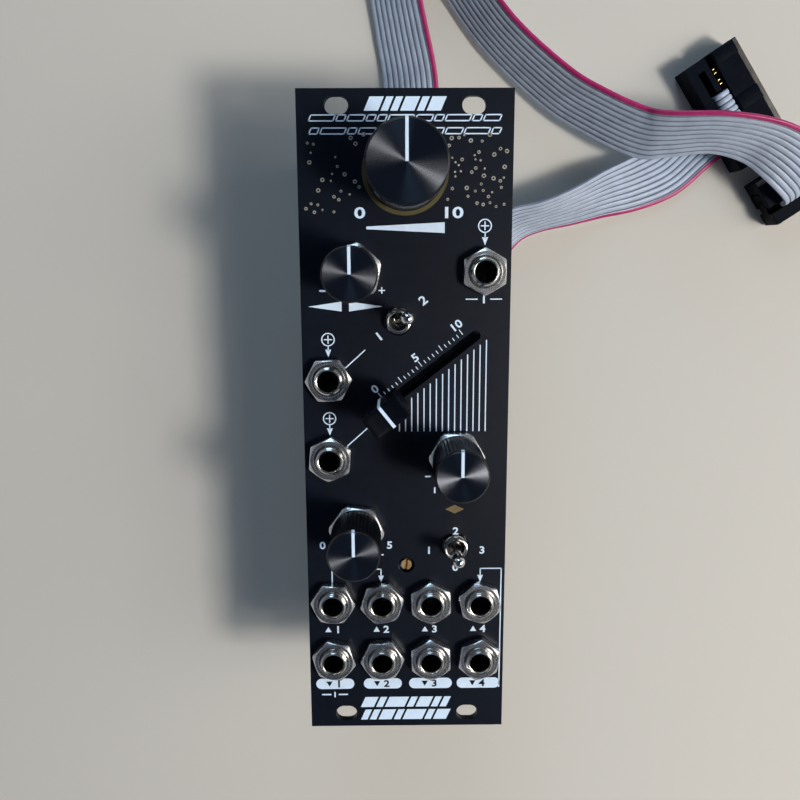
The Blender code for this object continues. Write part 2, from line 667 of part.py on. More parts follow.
def make_shaft_and_knob(name, x, y, large):
    """The shaft that turns in a potentiometer, and the knob pressed on its head."""
    knob_top = PANEL_FRONT + (LARGE_KNOB_TOP if large else SMALL_KNOB_TOP)
    shoulder = PANEL_FRONT + POT_BUSHING_REACH + GAP
    shaft_low = COMPONENT_BASE + POT_HEIGHT - SHAFT_DEPTH + GAP
    shaft_high = knob_top - KNOB_ROOF - GAP
    head = SHAFT_HEAD_RADIUS
    shaft = turned(f"pot_shaft_{name}", [
        (0, shaft_high), (head - KNOB_CHAMFER, shaft_high), (head, shaft_high - KNOB_CHAMFER),
        (head, shoulder), (SHAFT_RADIUS, shoulder), (SHAFT_RADIUS, shaft_low), (0, shaft_low)],
        20, (x, y, 0))
    finish_piece(shaft, "steel")

    low = PANEL_FRONT + KNOB_LIFT
    radius = LARGE_KNOB_RADIUS if large else SMALL_KNOB_RADIUS
    if large:
        knob = turned(f"knob_{name}", [
            (0, knob_top), (LARGE_KNOB_TOP_RADIUS, knob_top), (radius, knob_top - KNOB_CHAMFER),
            (radius, low), (0, low)], 48, (x, y, 0))
    else:
        knob = fluted_knob(f"knob_{name}", low, knob_top, (x, y, 0))
    recess_top = shoulder + GAP
    hollow = turned("knob_hollow_cut", [
        (0, knob_top - KNOB_ROOF), (head + GAP, knob_top - KNOB_ROOF), (head + GAP, recess_top),
        (radius - KNOB_SKIRT_WALL, recess_top), (radius - KNOB_SKIRT_WALL, low - OVERRUN),
        (0, low - OVERRUN)], 16)
    combine(knob, [hollow])
    finish_piece(knob, "black_anodised")


def fluted_knob(name, low, high, place):
    """A round knob whose side has shallow flutes, under a plain tapered rim."""
    side, top = SMALL_KNOB_RADIUS, SMALL_KNOB_TOP_RADIUS
    rings = []
    for height, crest, valley in ((low, side, side - FLUTE_DEPTH),
                                  (high - KNOB_CHAMFER, side, side - FLUTE_DEPTH),
                                  (high, top, top)):
        ring = []
        for step in range(2 * FLUTE_COUNT):
            angle = math.pi * step / FLUTE_COUNT
            radius = crest if step % 2 else valley
            ring.append((radius * math.cos(angle), radius * math.sin(angle), height))
        rings.append(ring)
    return stacked_rings(name, rings, place)


# Slide control

def make_fader():
    low = COMPONENT_BASE
    high = low + FADER_HEIGHT
    place = (FADER_X, FADER_Y, 0)
    frame = block("fader_frame", FADER_LENGTH, FADER_WIDTH, low, high, (0, 0), place, FADER_ANGLE)
    track_top = low + FADER_TRACK_HEIGHT
    inner_length, inner_width = FADER_LENGTH - 2 * FADER_WALL, FADER_WIDTH - 2 * FADER_WALL
    slit_length = FADER_TRAVEL + FADER_BLADE_LENGTH + FADER_SLIT_WIDTH / 2
    combine(frame, [
        block("fader_hollow_cut", inner_length, inner_width, track_top, high - FADER_WALL),
        block("fader_slit_cut", slit_length, FADER_SLIT_WIDTH, high - 2 * FADER_WALL, high + OVERRUN)])
    finish_piece(frame, "steel")

    start = Matrix.Rotation(FADER_ANGLE, 4, "Z") @ Vector((-FADER_TRAVEL / 2, 0, 0))
    rest = (FADER_X + start.x, FADER_Y + start.y, 0)
    cap_low = PANEL_FRONT + CAP_LIFT
    cap_high = cap_low + CAP_HEIGHT
    carriage_low = track_top + GAP
    carriage_high = carriage_low + FADER_CARRIAGE_HEIGHT
    lever = block("fader_lever", FADER_CARRIAGE_LENGTH, inner_width - 2 * GAP, carriage_low,
                  carriage_high, (0, 0), rest, FADER_ANGLE)
    combine(lever, [block("fader_blade_tool", FADER_BLADE_LENGTH, FADER_BLADE_THICKNESS,
                          carriage_high - OVERRUN, cap_high - CAP_ROOF - GAP)], "UNION")
    finish_piece(lever, "steel")

    cap = waisted_cap("fader_cap", cap_low, cap_high, rest)
    combine(cap, [block("cap_pocket_cut", FADER_BLADE_LENGTH + 2 * GAP, FADER_BLADE_THICKNESS + 2 * GAP,
                        cap_low - OVERRUN, cap_high - CAP_ROOF)])
    finish_piece(cap, "black_plastic")


def waisted_cap(name, low, high, place, steps=6):
    """A finger cap whose ends curve in to a waist between its wide foot and top."""
    rings = []
    for step in range(steps + 1):
        share = step / steps
        half_length = CAP_LENGTH / 2 - CAP_WAIST * math.sin(math.pi * share)
        half_width = CAP_WIDTH / 2
        height = low + (high - low) * share
        rings.append([(i * half_length, j * half_width, height)
                      for i, j in ((-1, -1), (1, -1), (1, 1), (-1, 1))])
    return stacked_rings(name, rings, place, FADER_ANGLE)


# Toggle switches

def make_toggle(name, x, y, turn, lean):
    """A toggle switch: a body with its bushing, and a lever on a ball in that bushing."""
    body_top = COMPONENT_BASE + TOGGLE_HEIGHT
    pivot = PANEL_FRONT - TOGGLE_PIVOT_DEPTH
    rim = PANEL_FRONT + TOGGLE_BUSHING_REACH
    body = block(f"toggle_body_{name}", TOGGLE_LENGTH, TOGGLE_WIDTH, COMPONENT_BASE, body_top, (0, 0),
                 (x, y, 0), turn)
    bushing = turned("toggle_bushing_tool", [
        (0, rim), (TOGGLE_BUSHING_RADIUS - TOGGLE_BUSHING_CHAMFER, rim),
        (TOGGLE_BUSHING_RADIUS, rim - TOGGLE_BUSHING_CHAMFER),
        (TOGGLE_BUSHING_RADIUS, body_top - OVERRUN), (0, body_top - OVERRUN)], 20)
    combine(body, [bushing], "UNION")
    combine(body, [rod("toggle_bore_cut", TOGGLE_BORE_RADIUS, pivot - TOGGLE_TAIL - 2 * GAP,
                       rim + OVERRUN, 20)])
    finish_piece(body, "blue_plastic")

    lever = turned(f"toggle_lever_{name}", toggle_profile(), 12, (x, y, pivot))
    lever.rotation_euler = (Matrix.Rotation(turn, 4, "Z") @ Matrix.Rotation(lean, 4, "Y")).to_euler()
    finish_piece(lever, "nickel")


def toggle_profile():
    """From the lever's round tip down its stem to the pivot ball and the tail."""
    tip, ball = TOGGLE_REACH + TOGGLE_PIVOT_DEPTH, TOGGLE_BALL_RADIUS
    profile = [(0, tip)]
    for step in range(1, 4):
        angle = math.pi / 2 * step / 3
        profile.append((TOGGLE_TIP_RADIUS * math.sin(angle),
                        tip - TOGGLE_TIP_RADIUS + TOGGLE_TIP_RADIUS * math.cos(angle)))
    start = math.asin(TOGGLE_STEM_RADIUS / ball)
    end = math.pi - math.asin(TOGGLE_TAIL_RADIUS / ball)
    for step in range(5):
        angle = start + (end - start) * step / 4
        profile.append((ball * math.sin(angle), ball * math.cos(angle)))
    profile += [(TOGGLE_TAIL_RADIUS, -TOGGLE_TAIL), (0, -TOGGLE_TAIL)]
    return profile


# Screwdriver trimmer

def make_trimmer():
    low, top = COMPONENT_BASE, PANEL_REAR - GAP
    offset = (TRIMMER_END_MARGIN - TRIMMER_LENGTH / 2, TRIMMER_BACK_MARGIN - TRIMMER_DEPTH / 2)
    body = block("trimmer_body", TRIMMER_LENGTH, TRIMMER_DEPTH, low, top, offset, (0, TRIMMER_ROW, 0))
    seat = top - TRIMMER_SCREW_SEAT
    combine(body, [rod("trimmer_well_cut", TRIMMER_SCREW_RADIUS + GAP, seat, top + OVERRUN, 18)])
    finish_piece(body, "blue_plastic")
    high = PANEL_FRONT - TRIMMER_SCREW_RECESS
    screw = rod("trimmer_screw", TRIMMER_SCREW_RADIUS, seat + GAP, high, 18, (0, TRIMMER_ROW, 0))
    combine(screw, [block("screw_slot_cut", 2 * TRIMMER_SCREW_RADIUS + OVERRUN, SCREW_SLOT_WIDTH,
                          high - SCREW_SLOT_DEPTH, high + OVERRUN)])
    finish_piece(screw, "brass")


# Power header and ribbon plugs

def make_power_header():
    """A keyed shroud with ten pins."""
    low, high = MAIN_REAR - GAP - HEADER_HEIGHT, MAIN_REAR - GAP
    floor = high - HEADER_FLOOR
    shroud = block("power_header", HEADER_LENGTH, HEADER_WIDTH, low, high, (0, 0),
                   (HEADER_X, HEADER_Y, 0))
    inner_length, inner_width = HEADER_LENGTH - 2 * HEADER_WALL, HEADER_WIDTH - 2 * HEADER_WALL
    combine(shroud, [
        block("header_well_cut", inner_length, inner_width, low - OVERRUN, floor),
        block("header_key_cut", HEADER_KEY_WIDTH, HEADER_WALL + 2 * OVERRUN, low - OVERRUN, floor,
              (0, (HEADER_WIDTH - HEADER_WALL) / 2))])
    tip = floor - CONTACT_HOLE_DEPTH
    combine(shroud, [block("header_pin_tool", PIN_SIDE, PIN_SIDE, tip, floor + SOLDER_DEPTH,
                           (x, row * PIN_PITCH / 2))
                     for x in pin_offsets(MODULE_PLUG_COLUMNS) for row in (-1, 1)], "UNION")
    finish_piece(shroud, "black_plastic")


def plug_length(columns):
    return columns * PIN_PITCH + 2 * PLUG_END_MARGIN


def contact_hole_cuts(columns, high):
    floor = high - CONTACT_HOLE_DEPTH - GAP
    return [block("contact_hole_cut", CONTACT_HOLE_SIDE, CONTACT_HOLE_SIDE, floor, high + OVERRUN,
                  (x, row * PIN_PITCH / 2)) for x in pin_offsets(columns) for row in (-1, 1)]


def make_module_plug():
    """The plug in the power header. Its cap is snapped on: one piece with a slit for the ribbon."""
    slit = RIBBON_THICKNESS + 2 * GAP
    low, high = -slit / 2 - MODULE_CAP_HEIGHT, slit / 2 + PLUG_BODY_HEIGHT
    plug = block("module_plug", plug_length(MODULE_PLUG_COLUMNS), PLUG_THICKNESS, low, high, (0, 0),
                 (HEADER_X, HEADER_Y, RIBBON_LEVEL))
    combine(plug, [block("ribbon_slit_cut", RIBBON_WIDTH + 2 * GAP, PLUG_THICKNESS + OVERRUN, -slit / 2,
                         slit / 2)])
    combine(plug, contact_hole_cuts(MODULE_PLUG_COLUMNS, high))
    finish_piece(plug, "black_plastic")


def make_loose_plug(name, columns, mount, relief):
    """A plug of two pieces about its ribbon plane. It mates up local Z and its length is along X."""
    length = plug_length(columns)
    slit = RIBBON_THICKNESS + 2 * GAP
    low, high = slit / 2, slit / 2 + PLUG_BODY_HEIGHT
    body = block(f"{name}_body", length, PLUG_THICKNESS, low, high)
    notch_high = low + LATCH_LENGTH + GAP
    combine(body, [block("latch_notch_cut", 2 * (LATCH_THICKNESS + GAP), LATCH_WIDTH + 2 * GAP,
                         low - OVERRUN, notch_high, (end * length / 2, 0)) for end in (-1, 1)])
    combine(body, contact_hole_cuts(columns, high))

    cap_height = PLUG_CAP_HEIGHT + (RELIEF_HEIGHT if relief else 0)
    cap = block(f"{name}_cap", length, PLUG_THICKNESS, -low - cap_height, -low)
    combine(cap, [block("latch_tool", LATCH_THICKNESS, LATCH_WIDTH, -low - LATCH_THICKNESS,
                        low + LATCH_LENGTH, (end * (length - LATCH_THICKNESS) / 2, 0))
                  for end in (-1, 1)], "UNION")
    if relief:
        combine(cap, [block("relief_slot_cut", columns * PIN_PITCH, PLUG_THICKNESS + OVERRUN,
                            -low - RELIEF_SLOT_WALL - slit, -low - RELIEF_SLOT_WALL)])
    for piece in (body, cap):
        finish_piece(piece, "black_plastic")
        piece.parent = mount


def plug_mount(name, place, mating, along):
    """An empty whose Z is a plug's mating direction and whose X is its length."""
    z_axis = Vector(mating).normalized()
    x_axis = Vector(along)
    x_axis = (x_axis - x_axis.dot(z_axis) * z_axis).normalized()
    turn = Matrix((x_axis, z_axis.cross(x_axis), z_axis)).transposed().to_4x4()
    mount = add_object(name, None)
    mount.matrix_world = Matrix.Translation(place) @ turn
    return mount


# Flat cable

def width_direction(heading, rise):
    heading, rise = math.radians(heading), math.radians(rise)
    level = math.cos(rise)
    return Vector((level * math.cos(heading), level * math.sin(heading), math.sin(rise)))


def between(values, index, share):
    """A point of the smooth curve through the values, part of the way from one to the next."""
    a = values[max(index - 1, 0)]
    b, c = values[index], values[index + 1]
    d = values[min(index + 2, len(values) - 1)]
    slope = (c - a) * share
    bend = (2 * a - 5 * b + 4 * c - d) * share ** 2
    twist = (3 * b - a - 3 * c + d) * share ** 3
    return b + (slope + bend + twist) / 2


def route_rows(route, strands):
    """Rows of points across the ribbon along a route, square to its centre line."""
    centres = [Vector(station[:3]) for station in route]
    widths = [width_direction(*station[3:]) for station in route]
    steps = [(index, sample / ROWS_PER_STATION) for index in range(len(route) - 1)
             for sample in range(ROWS_PER_STATION)]
    points = [between(centres, index, share) for index, share in steps] + centres[-1:]
    sides = [between(widths, index, share) for index, share in steps] + widths[-1:]
    rows = []
    for index, point in enumerate(points):
        ahead = points[min(index + 1, len(points) - 1)] - points[max(index - 1, 0)]
        ahead.normalize()
        side = (sides[index] - sides[index].dot(ahead) * ahead).normalized()
        rows.append([point + side * RIBBON_WIDTH * (strand / strands - 1 / 2)
                     for strand in range(strands + 1)])
    return rows


def folded_point(across, run):
    """Where a point of the flat ribbon goes when it rolls round a bar that lies at 45 degrees."""
    beyond = -(across + run) / math.sqrt(2)
    foot = Vector((FOLD_X + (across - run) / 2, FOLD_Y + (run - across) / 2, RIBBON_LEVEL))
    inward = Vector((-1, -1, 0)) / math.sqrt(2)
    arc = math.pi * FOLD_RADIUS
    if beyond <= 0:
        return foot + inward * beyond
    if beyond < arc:
        angle = beyond / FOLD_RADIUS
        rise = FOLD_RADIUS * (1 - math.cos(angle))
        return foot + inward * FOLD_RADIUS * math.sin(angle) + Vector((0, 0, rise))
    return foot - inward * (beyond - arc) + Vector((0, 0, 2 * FOLD_RADIUS))


def fold_rows():
    """Rows across the ribbon from its plug, through the fold, to the start of the bus route."""
    first = HEADER_Y - PLUG_THICKNESS / 2 - GAP - FOLD_Y
    last = FOLD_X - BUS_ROUTE[0][0] - math.pi * FOLD_RADIUS / math.sqrt(2)
    rows = []
    for index in range(FOLD_ROWS):
        run = first + (last - first) * index / FOLD_ROWS
        rows.append([folded_point(RIBBON_WIDTH * (strand / FOLD_STRANDS - 1 / 2), run)
                     for strand in range(FOLD_STRANDS + 1)])
    return rows


def make_ribbon(name, rows):
    """A ribbon from rows of points across it: an open surface with Solidify."""
    shape = bmesh.new()
    grid = [[shape.verts.new(point) for point in row] for row in rows]
    for lower, upper in zip(grid, grid[1:]):
        for index in range(len(lower) - 1):
            shape.faces.new((lower[index], lower[index + 1], upper[index + 1], upper[index]))
    strip = from_bmesh(name, shape)
    solid = strip.modifiers.new("thickness", "SOLIDIFY")
    solid.thickness = RIBBON_THICKNESS
    solid.offset = 0
    finish_piece(strip, "ribbon_grey")


def make_cable():
    """One ribbon with three plugs: one for the bus, one for this module and one for a second module."""
    make_module_plug()
    mount = plug_mount("bus_plug_mount", BUS_PLUG_PLACE, BUS_PLUG_MATING, BUS_PLUG_ALONG)
    make_loose_plug("bus_plug", BUS_PLUG_COLUMNS, mount, True)
    mount = plug_mount("end_plug_mount", END_PLUG_PLACE, END_PLUG_MATING, END_PLUG_ALONG)
    make_loose_plug("end_plug", MODULE_PLUG_COLUMNS, mount, False)
    make_ribbon("ribbon_loop", route_rows(LOOP_ROUTE, 1))
    make_ribbon("ribbon_to_bus", fold_rows() + route_rows(BUS_ROUTE, FOLD_STRANDS))


make_front_panel()
make_board("control_board", CONTROL_REAR, pin_header_tools())
make_board("main_board", MAIN_REAR, socket_tools() + rear_component_tools())
make_standoffs()
for jack_name, jack_place in JACK_PLACES.items():
    make_jack(jack_name, *jack_place)
for pot_name, pot_place in POT_PLACES.items():
    make_pot(pot_name, *pot_place)
    make_shaft_and_knob(pot_name, pot_place[0], pot_place[1], pot_name == "large")
make_fader()
for toggle_name, toggle_place in TOGGLE_PLACES.items():
    make_toggle(toggle_name, *toggle_place)
make_trimmer()
make_power_header()
make_cable()
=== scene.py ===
"""A modular synthesiser filter module, face up, with its flat power cable."""

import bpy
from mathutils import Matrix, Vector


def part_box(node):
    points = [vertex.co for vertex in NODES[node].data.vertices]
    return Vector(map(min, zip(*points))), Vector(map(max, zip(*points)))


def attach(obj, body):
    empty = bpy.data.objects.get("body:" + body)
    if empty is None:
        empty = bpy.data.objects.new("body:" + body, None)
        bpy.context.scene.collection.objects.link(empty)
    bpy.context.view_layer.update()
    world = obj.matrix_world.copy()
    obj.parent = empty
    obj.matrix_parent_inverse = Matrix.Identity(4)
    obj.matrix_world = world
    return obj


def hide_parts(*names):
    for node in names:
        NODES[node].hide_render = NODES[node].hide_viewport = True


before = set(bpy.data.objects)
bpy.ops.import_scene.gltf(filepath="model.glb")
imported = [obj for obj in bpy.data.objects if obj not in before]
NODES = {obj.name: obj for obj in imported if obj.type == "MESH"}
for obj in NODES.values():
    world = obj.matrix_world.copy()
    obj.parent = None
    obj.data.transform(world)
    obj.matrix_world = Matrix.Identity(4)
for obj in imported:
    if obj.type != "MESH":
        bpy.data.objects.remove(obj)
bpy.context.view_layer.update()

import random
from math import asin, atan2, cos, degrees, hypot, pi, radians, sin, sqrt, tan

import bmesh
import bpy
from mathutils import Matrix, Vector

MM = 0.001
TAU = 2 * pi
ROOT = "module"
SIDES = (-1, 1)
SQUARE = ((-1, -1), (1, -1), (1, 1), (-1, 1))
# Stands a flat outline up: its X becomes Y and its Y becomes Z.
UPRIGHT = Matrix(((0, 0, 1, 0), (1, 0, 0, 0), (0, 1, 0, 0), (0, 0, 0, 1)))
PLAIN = Matrix.Identity(4)

# Camera: its place in metres and its turn as an axis times an angle
CAMERA_PLACE = (-0.002612, 0.035171, 0.188314)
CAMERA_TURN = (0.185914, 0.009665, 0.004783)
CAMERA_LENS = 36.0

# Lamps: place in metres, size, power and colour
LAMPS = {
    "key_lamp": ((0.53, -0.15, 0.75), 0.16, 4.7, (1.0, 0.985, 0.95)),
    "glow_lamp": ((0.58, -0.12, 0.72), 0.48, 2.5, (1.0, 0.985, 0.95)),
    "window_lamp": ((0.85, 0.05, 0.42), 0.46, 1.7, (1.0, 0.97, 0.92)),
    "sky_lamp": ((-0.10, 0.75, 0.45), 0.40, 1.8, (0.50, 0.74, 1.0)),
}
HORIZON = (0.54, 0.53, 0.50)
SKY = ((0.0, HORIZON), (0.3, (0.24, 0.28, 0.34)), (0.62, (0.070, 0.088, 0.120)),
       (0.88, (0.018, 0.028, 0.052)))
FLOOR_SIZE = 1.2
FLOOR_STOPS = ((0.3, (0.60, 0.56, 0.50)), (0.7, (0.62, 0.58, 0.52)))
# Distances from the middle, in metres, over which the floor's colour goes and the horizon's glow comes
FLOOR_FADE, FLOOR_GLOW = (0.24, 0.76), (0.22, 0.74)

# Sizes of the module's pieces, in millimetres
PANEL_TOP = 34.0
PANEL_THICKNESS = 1.6
PANEL_BASE = PANEL_TOP - PANEL_THICKNESS
PANEL_EDGE = 0.08
MOUNT_X, MOUNT_Y = 12.7, 61.25
MOUNT_LENGTH, MOUNT_WIDTH = 4.4, 3.3
JACK_HOLE, POT_HOLE, TOGGLE_HOLE, TRIMMER_HOLE = 3.35, 3.85, 2.75, 1.6
BOARD_WIDTH, BOARD_HEIGHT, BOARD_THICKNESS = 38.4, 110.4, 1.6
MAIN_REAR = 13.0
MAIN_FRONT = MAIN_REAR + BOARD_THICKNESS
CONTROL_REAR = 20.8
CONTROL_FRONT = CONTROL_REAR + BOARD_THICKNESS
LEG_LENGTH = 3.0
JACKS = ("upper_right", "left_upper", "left_lower", "input_1", "input_2", "input_3", "input_4",
         "output_1", "output_2", "output_3", "output_4")
JACK_FLATS, JACK_THREAD, JACK_BORE = 8.0, 2.95, 1.95
JACK_LEGS = (-5.2, 3.6, -2.4)
# The bushing's rounded lip, as radius and depth below its rim, and the tip spring, as place and rise
JACK_LIP = ((2.70, 0.62), (2.54, 0.50), (2.54, 0.28), (2.49, 0.11), (2.38, 0.02), (2.26, 0.0), (2.15, 0.04),
            (2.06, 0.15), (2.00, 0.33), (1.97, 0.56))
JACK_SPRING = ((-1.85, 7.4), (-1.15, 4.6), (-1.85, 2.6), (-2.0, 2.7), (-1.32, 4.6), (-2.0, 7.3))
NUT_SIDES = 72
NUT_CHAMFER = 1.5
NUT_STEPS = (0.0, 0.07, 0.15, 0.24, 0.34, 0.46)
POTS = ("large", "upper", "right", "left")
POT_FLATS, POT_THREAD, POT_BORE, POT_HEIGHT = 10.0, 3.5, 2.75, 6.8
FLUTE_COUNT, FLUTE_DEPTH = 44, 0.30
POINTER_WIDTH = 0.56
FADER_SLANT = 38
FADER_ANGLE = radians(FADER_SLANT)
FADER_TRAVEL = 20
SLOT_LENGTH, SLOT_WIDTH = 25.4, 2.0
CAP_LENGTH, CAP_WIDTH, CAP_CROWN = 8.0, 4.8, 0.35
CAP_WAIST, CAP_DIP, CAP_LINE = 0.7, 0.4, 0.62
CAP_STEPS, CAP_PARTS = 18, (16, 6)
# Each toggle's turn on the panel and its lever's lean
TOGGLES = {"two_way": (FADER_ANGLE, radians(12.5)), "three_way": (0.0, 0.0)}
PIVOT_DEPTH = 0.6
LEVER_REACH, LEVER_BALL = 9.6, 1.25
SCREW_TURN, SCREW_SLOT = radians(82), 0.25
STANDOFF_PLACES = {"board_standoff_upper": (2.5, 36.0), "board_standoff_lower": (0.0, -13.0)}
STANDOFF_FLATS, STANDOFF_HEAD = 5.5, 2.75
# The dome of a screw's head, as shares of its radius and of its rise
SCREW_HEAD = ((1.0, 0.0), (1.0, 0.35), (0.9, 0.68), (0.66, 0.92), (0.36, 1.0))
PIN_PITCH, PIN_COUNT = 2.54, 8
PIN_COLUMN, PIN_ROW_Y = 16.6, -13.0
CAPACITOR_PLACES = ((-15.8, 51.5), (15.8, 51.5), (-11.0, -48.0), (11.0, -48.0))
CAPACITOR_RADIUS = 3.15
# A capacitor's sleeve, as distance in from its radius and height, from its foot to its scored top
SLEEVE = ((0.5, 12.85), (0.06, 12.6), (0.0, 12.3), (0.0, 11.8), (0.32, 11.45), (0.32, 11.25), (0.0, 10.9),
          (0.0, 0.35), (0.12, 0.1), (0.5, 0.03), (0.65, 0.1))
CHIP_COLUMN, CHIP_ROWS, CHIP_PITCH = 9.5, (22.0, 9.0, -26.0), 1.27
# A chip's bent lead: where each of its stretches starts and ends, and how far behind the board it lies
CHIP_LEAD = ((0.0, 0.5, 1.0, 0.8), (0.4, 0.6, 1.0, 0.05), (0.5, 1.1, 0.22, 0.04))
PARTS_SEED, REAR_PARTS, INNER_PARTS, FRONT_PARTS = 11, 70, 60, 40
PLUG_THICKNESS, PLUG_END = 6.1, 2.3
PLUG_SLIT = 0.75
PLUG_TOP = PLUG_SLIT + 6.2

# Print, in millimetres
LINE_WIDTH = 0.23
INK_LIFT, INK_DEPTH = 0.004, 0.03
# A font's size over the height of its digits
FONT_SCALE = 1.42
SIGN_RADIUS = 1.32
UPPER_MARKS, LOWER_MARKS = -42.2, -54.45
DIAL_Y = 49.6
RING_INNER, RING_OUTER = 7.35, 8.15
RAMP_START, RAMP_STEP, RAMP_BARS, RAMP_BASE = -1.3, 1.21, 15, -0.1
# Rows of slanted blocks: place, length, height, shares of the length and whether they are hollow
BLOCK_ROWS = (
    (0.0, 61.5, 14.2, 2.5, (2, 1, 1, 2, 1, 2)),
    (0.0, 59.0, 35.2, 1.05, (3, 1, 2, 1, 1, 3, 2, 1, 3, 1, 2), True),
    (0.0, 56.7, 35.2, 1.05, (1, 3, 1, 2, 2, 1, 1, 3, 2, 3, 1), True),
    (-0.2, -58.7, 18.0, 2.3, (2, 1, 3, 1, 2, 1, 1)),
    (-0.2, -61.6, 18.0, 2.3, (1, 1, 2, 1, 3, 1, 2)),
)
# Numbers: place, size, turn in degrees and stretch
NUMBERS = (
    ("0", -8.6, 42.0, 2.0, 0, 1.5), ("10", 8.8, 42.0, 2.0, 0, 1.5), ("1", 15.0, 25.75, 1.5),
    ("1", -5.2, 18.7, 1.7, 38), ("2", 3.3, 25.6, 1.7, 38), ("2", 10.0, -20.9, 1.5), ("1", 4.6, -25.0, 1.5),
    ("3", 15.4, -25.0, 1.5), ("0", 10.0, -28.7, 1.5), ("0", -17.0, -23.8, 1.5), ("5", -3.4, -23.8, 1.5),
    ("1", -15.1, -56.9, 1.2),
)
# Lines: both ends and, where it isn't the plain one, the width
LINES = (
    ((13.7, 25.75), (11.6, 25.75)), ((16.3, 25.75), (18.4, 25.75)), ((-16.4, 27.45), (-15.45, 27.45), 0.34),
    ((-11.7, 12.6), (-7.95, 16.0)), ((-11.9, -3.35), (-7.6, 0.55)), ((3.9, -9.45), (4.75, -9.45), 0.3),
    ((5.72, -11.8), (5.72, -12.8), 0.3), ((-4.95, -25.9), (-4.75, -25.9), 0.3),
    ((-15.2, -29.3), (-15.2, -32.2)), ((-6.3, -29.0), (-5.2, -29.0)), ((15.1, -29.0), (19.4, -29.0)),
    ((19.4, -29.0), (19.4, -55.4)), ((-17.7, -56.9), (-16.0, -56.9), 0.3),
    ((-12.5, -56.9), (-14.2, -56.9), 0.3),
)
# Arrows: X, tail and tip; plus signs in rings and one without; and wedges with their places
ARROWS = ((15.05, 38.1, 35.9), (-15.05, 16.68, 14.65), (-15.05, 1.08, -0.95), (-5.2, -29.0, -31.9),
          (15.1, -29.0, -31.9))
RINGED_PLUSES, RINGED_REACH = ((15.0, 39.5), (-15.05, 18.1), (-15.05, 2.5)), 0.8
BARE_PLUS = (-4.57, 27.48, 0.62)
WEDGES = (
    (((-7.4, -0.25), (7.4, -1.0), (7.4, 1.0), (-7.4, 0.25)), 0.0, 39.2),
    (((-7.2, 0.0), (-0.7, -0.95), (-0.7, 0.95)), -11.6, 24.45),
    (((7.2, 0.0), (0.7, 0.95), (0.7, -0.95)), -11.6, 24.45),
)
# The pitch of the lower jacks' columns, and the diamond below a knob with its place
COLUMN_PITCH = 10.0
DIAMOND = ((1.9, 0.0), (0.0, 0.9), (-1.9, 0.0), (0.0, -0.9)), 9.75, -16.3
# Plated dots: their seed, how many lie right and left of the large dial, their radii, and how far out and
# how high they lie
DOT_SEED, DOT_COUNTS, DOT_RADII = 7, ((1, 44), (-1, 26)), (0.20, 0.26, 0.32, 0.40)
DOT_REACH, DOT_HEIGHTS = (7.6, 19.0), (41.2, 56.2)

# Loose plugs: where the ribbon's plane crosses each, in metres, the way it mates, the way it is long, its
# columns of contacts, and how far along it the contact tips show
PLUGS = {
    "bus_plug": ((0.0723, 0.0655, 0.0034), (0.829, 0.559, 0.0), (0.559, -0.829, 0.0), 8, -4.4),
    "end_plug": ((0.0889, 0.0479, 0.0034), (-0.545, 0.839, 0.0), (0.839, 0.545, 0.0), 5, 99.0),
}
# The ribbon's end round the cap, in millimetres along and above the plug
WRAP_OFFSET, WRAP_ROWS = 2.0, 5
WRAP_ROUTE = ((-6.15, -2.6), (-5.2, -2.65), (-4.2, -2.7), (-3.3, -2.4), (-2.85, -1.6), (-2.8, 0.0),
              (-2.8, 2.0), (-2.6, 3.1), (-2.0, 3.6), (-1.2, 3.65), (-0.45, 3.4), (0.0, 2.6), (0.0, 0.0),
              (0.0, -2.6))

# Flat cable, in metres as in the part's own source
RIBBON_WIDTH = 12.7 * MM
RIBBON_THICKNESS = 0.9 * MM
RIBBON_WEB = 0.26 * MM
RIBBON_ROWS = 6
RIBBON_MATERIALS = "wire_grey wire_red wire_groove"
WIRE_COUNT = 10
WIRE_SAMPLES = 8
RED_START = 0.3
FOLD_RADIUS = 1.3 * MM
FOLD_X = 2.0 * MM
FOLD_Y = 36.6 * MM
FOLD_START = 6.55 * MM
FOLD_ROWS = 64
FOLD_LEVEL = 2.95 * MM
LOOP_LENGTH = 0.203
TO_BUS_LENGTH = 0.083
# Routes: places, and the heading and rise of the ribbon's width in degrees
LOOP_ROUTE = (
    (0.002, 0.0498, 0.00295, 0, 0), (0.002, 0.054, 0.00295, 0, 0), (0.002, 0.06, 0.003, 3, 9),
    (0.0016, 0.0715, 0.0034, 8, 22), (-0.0002, 0.0811, 0.0042, 8, 30), (-0.0017, 0.0892, 0.0049, 8, 34),
    (-0.0024, 0.097, 0.0048, 6, 26), (-0.002, 0.1042, 0.0038, 4, 14), (-0.0006, 0.1105, 0.0035, 2, 4),
    (0.001, 0.1155, 0.0064, 2, 0), (0.0024, 0.1172, 0.0112, 4, 0), (0.0041, 0.1146, 0.0156, 8, 4),
    (0.0062, 0.109, 0.0162, 14, 12), (0.0084, 0.1025, 0.013, 24, 28), (0.0103, 0.0966, 0.009, 33, 44),
    (0.0124, 0.0909, 0.0063, 39, 54), (0.0206, 0.0799, 0.0069, 44, 57), (0.0327, 0.0692, 0.0076, 51, 54),
    (0.0411, 0.0639, 0.009, 58, 52), (0.0497, 0.0597, 0.0108, 70, 49), (0.0552, 0.0587, 0.0131, 84, 52),
    (0.0653, 0.0587, 0.0156, 86, 58), (0.0741, 0.057, 0.0157, 68, 52), (0.0808, 0.0537, 0.015, 54, 34),
    (0.0862, 0.0502, 0.0125, 42, 14), (0.0886, 0.0483, 0.0094, 34, 3), (0.0889, 0.0479, 0.0067, 33, 0),
)
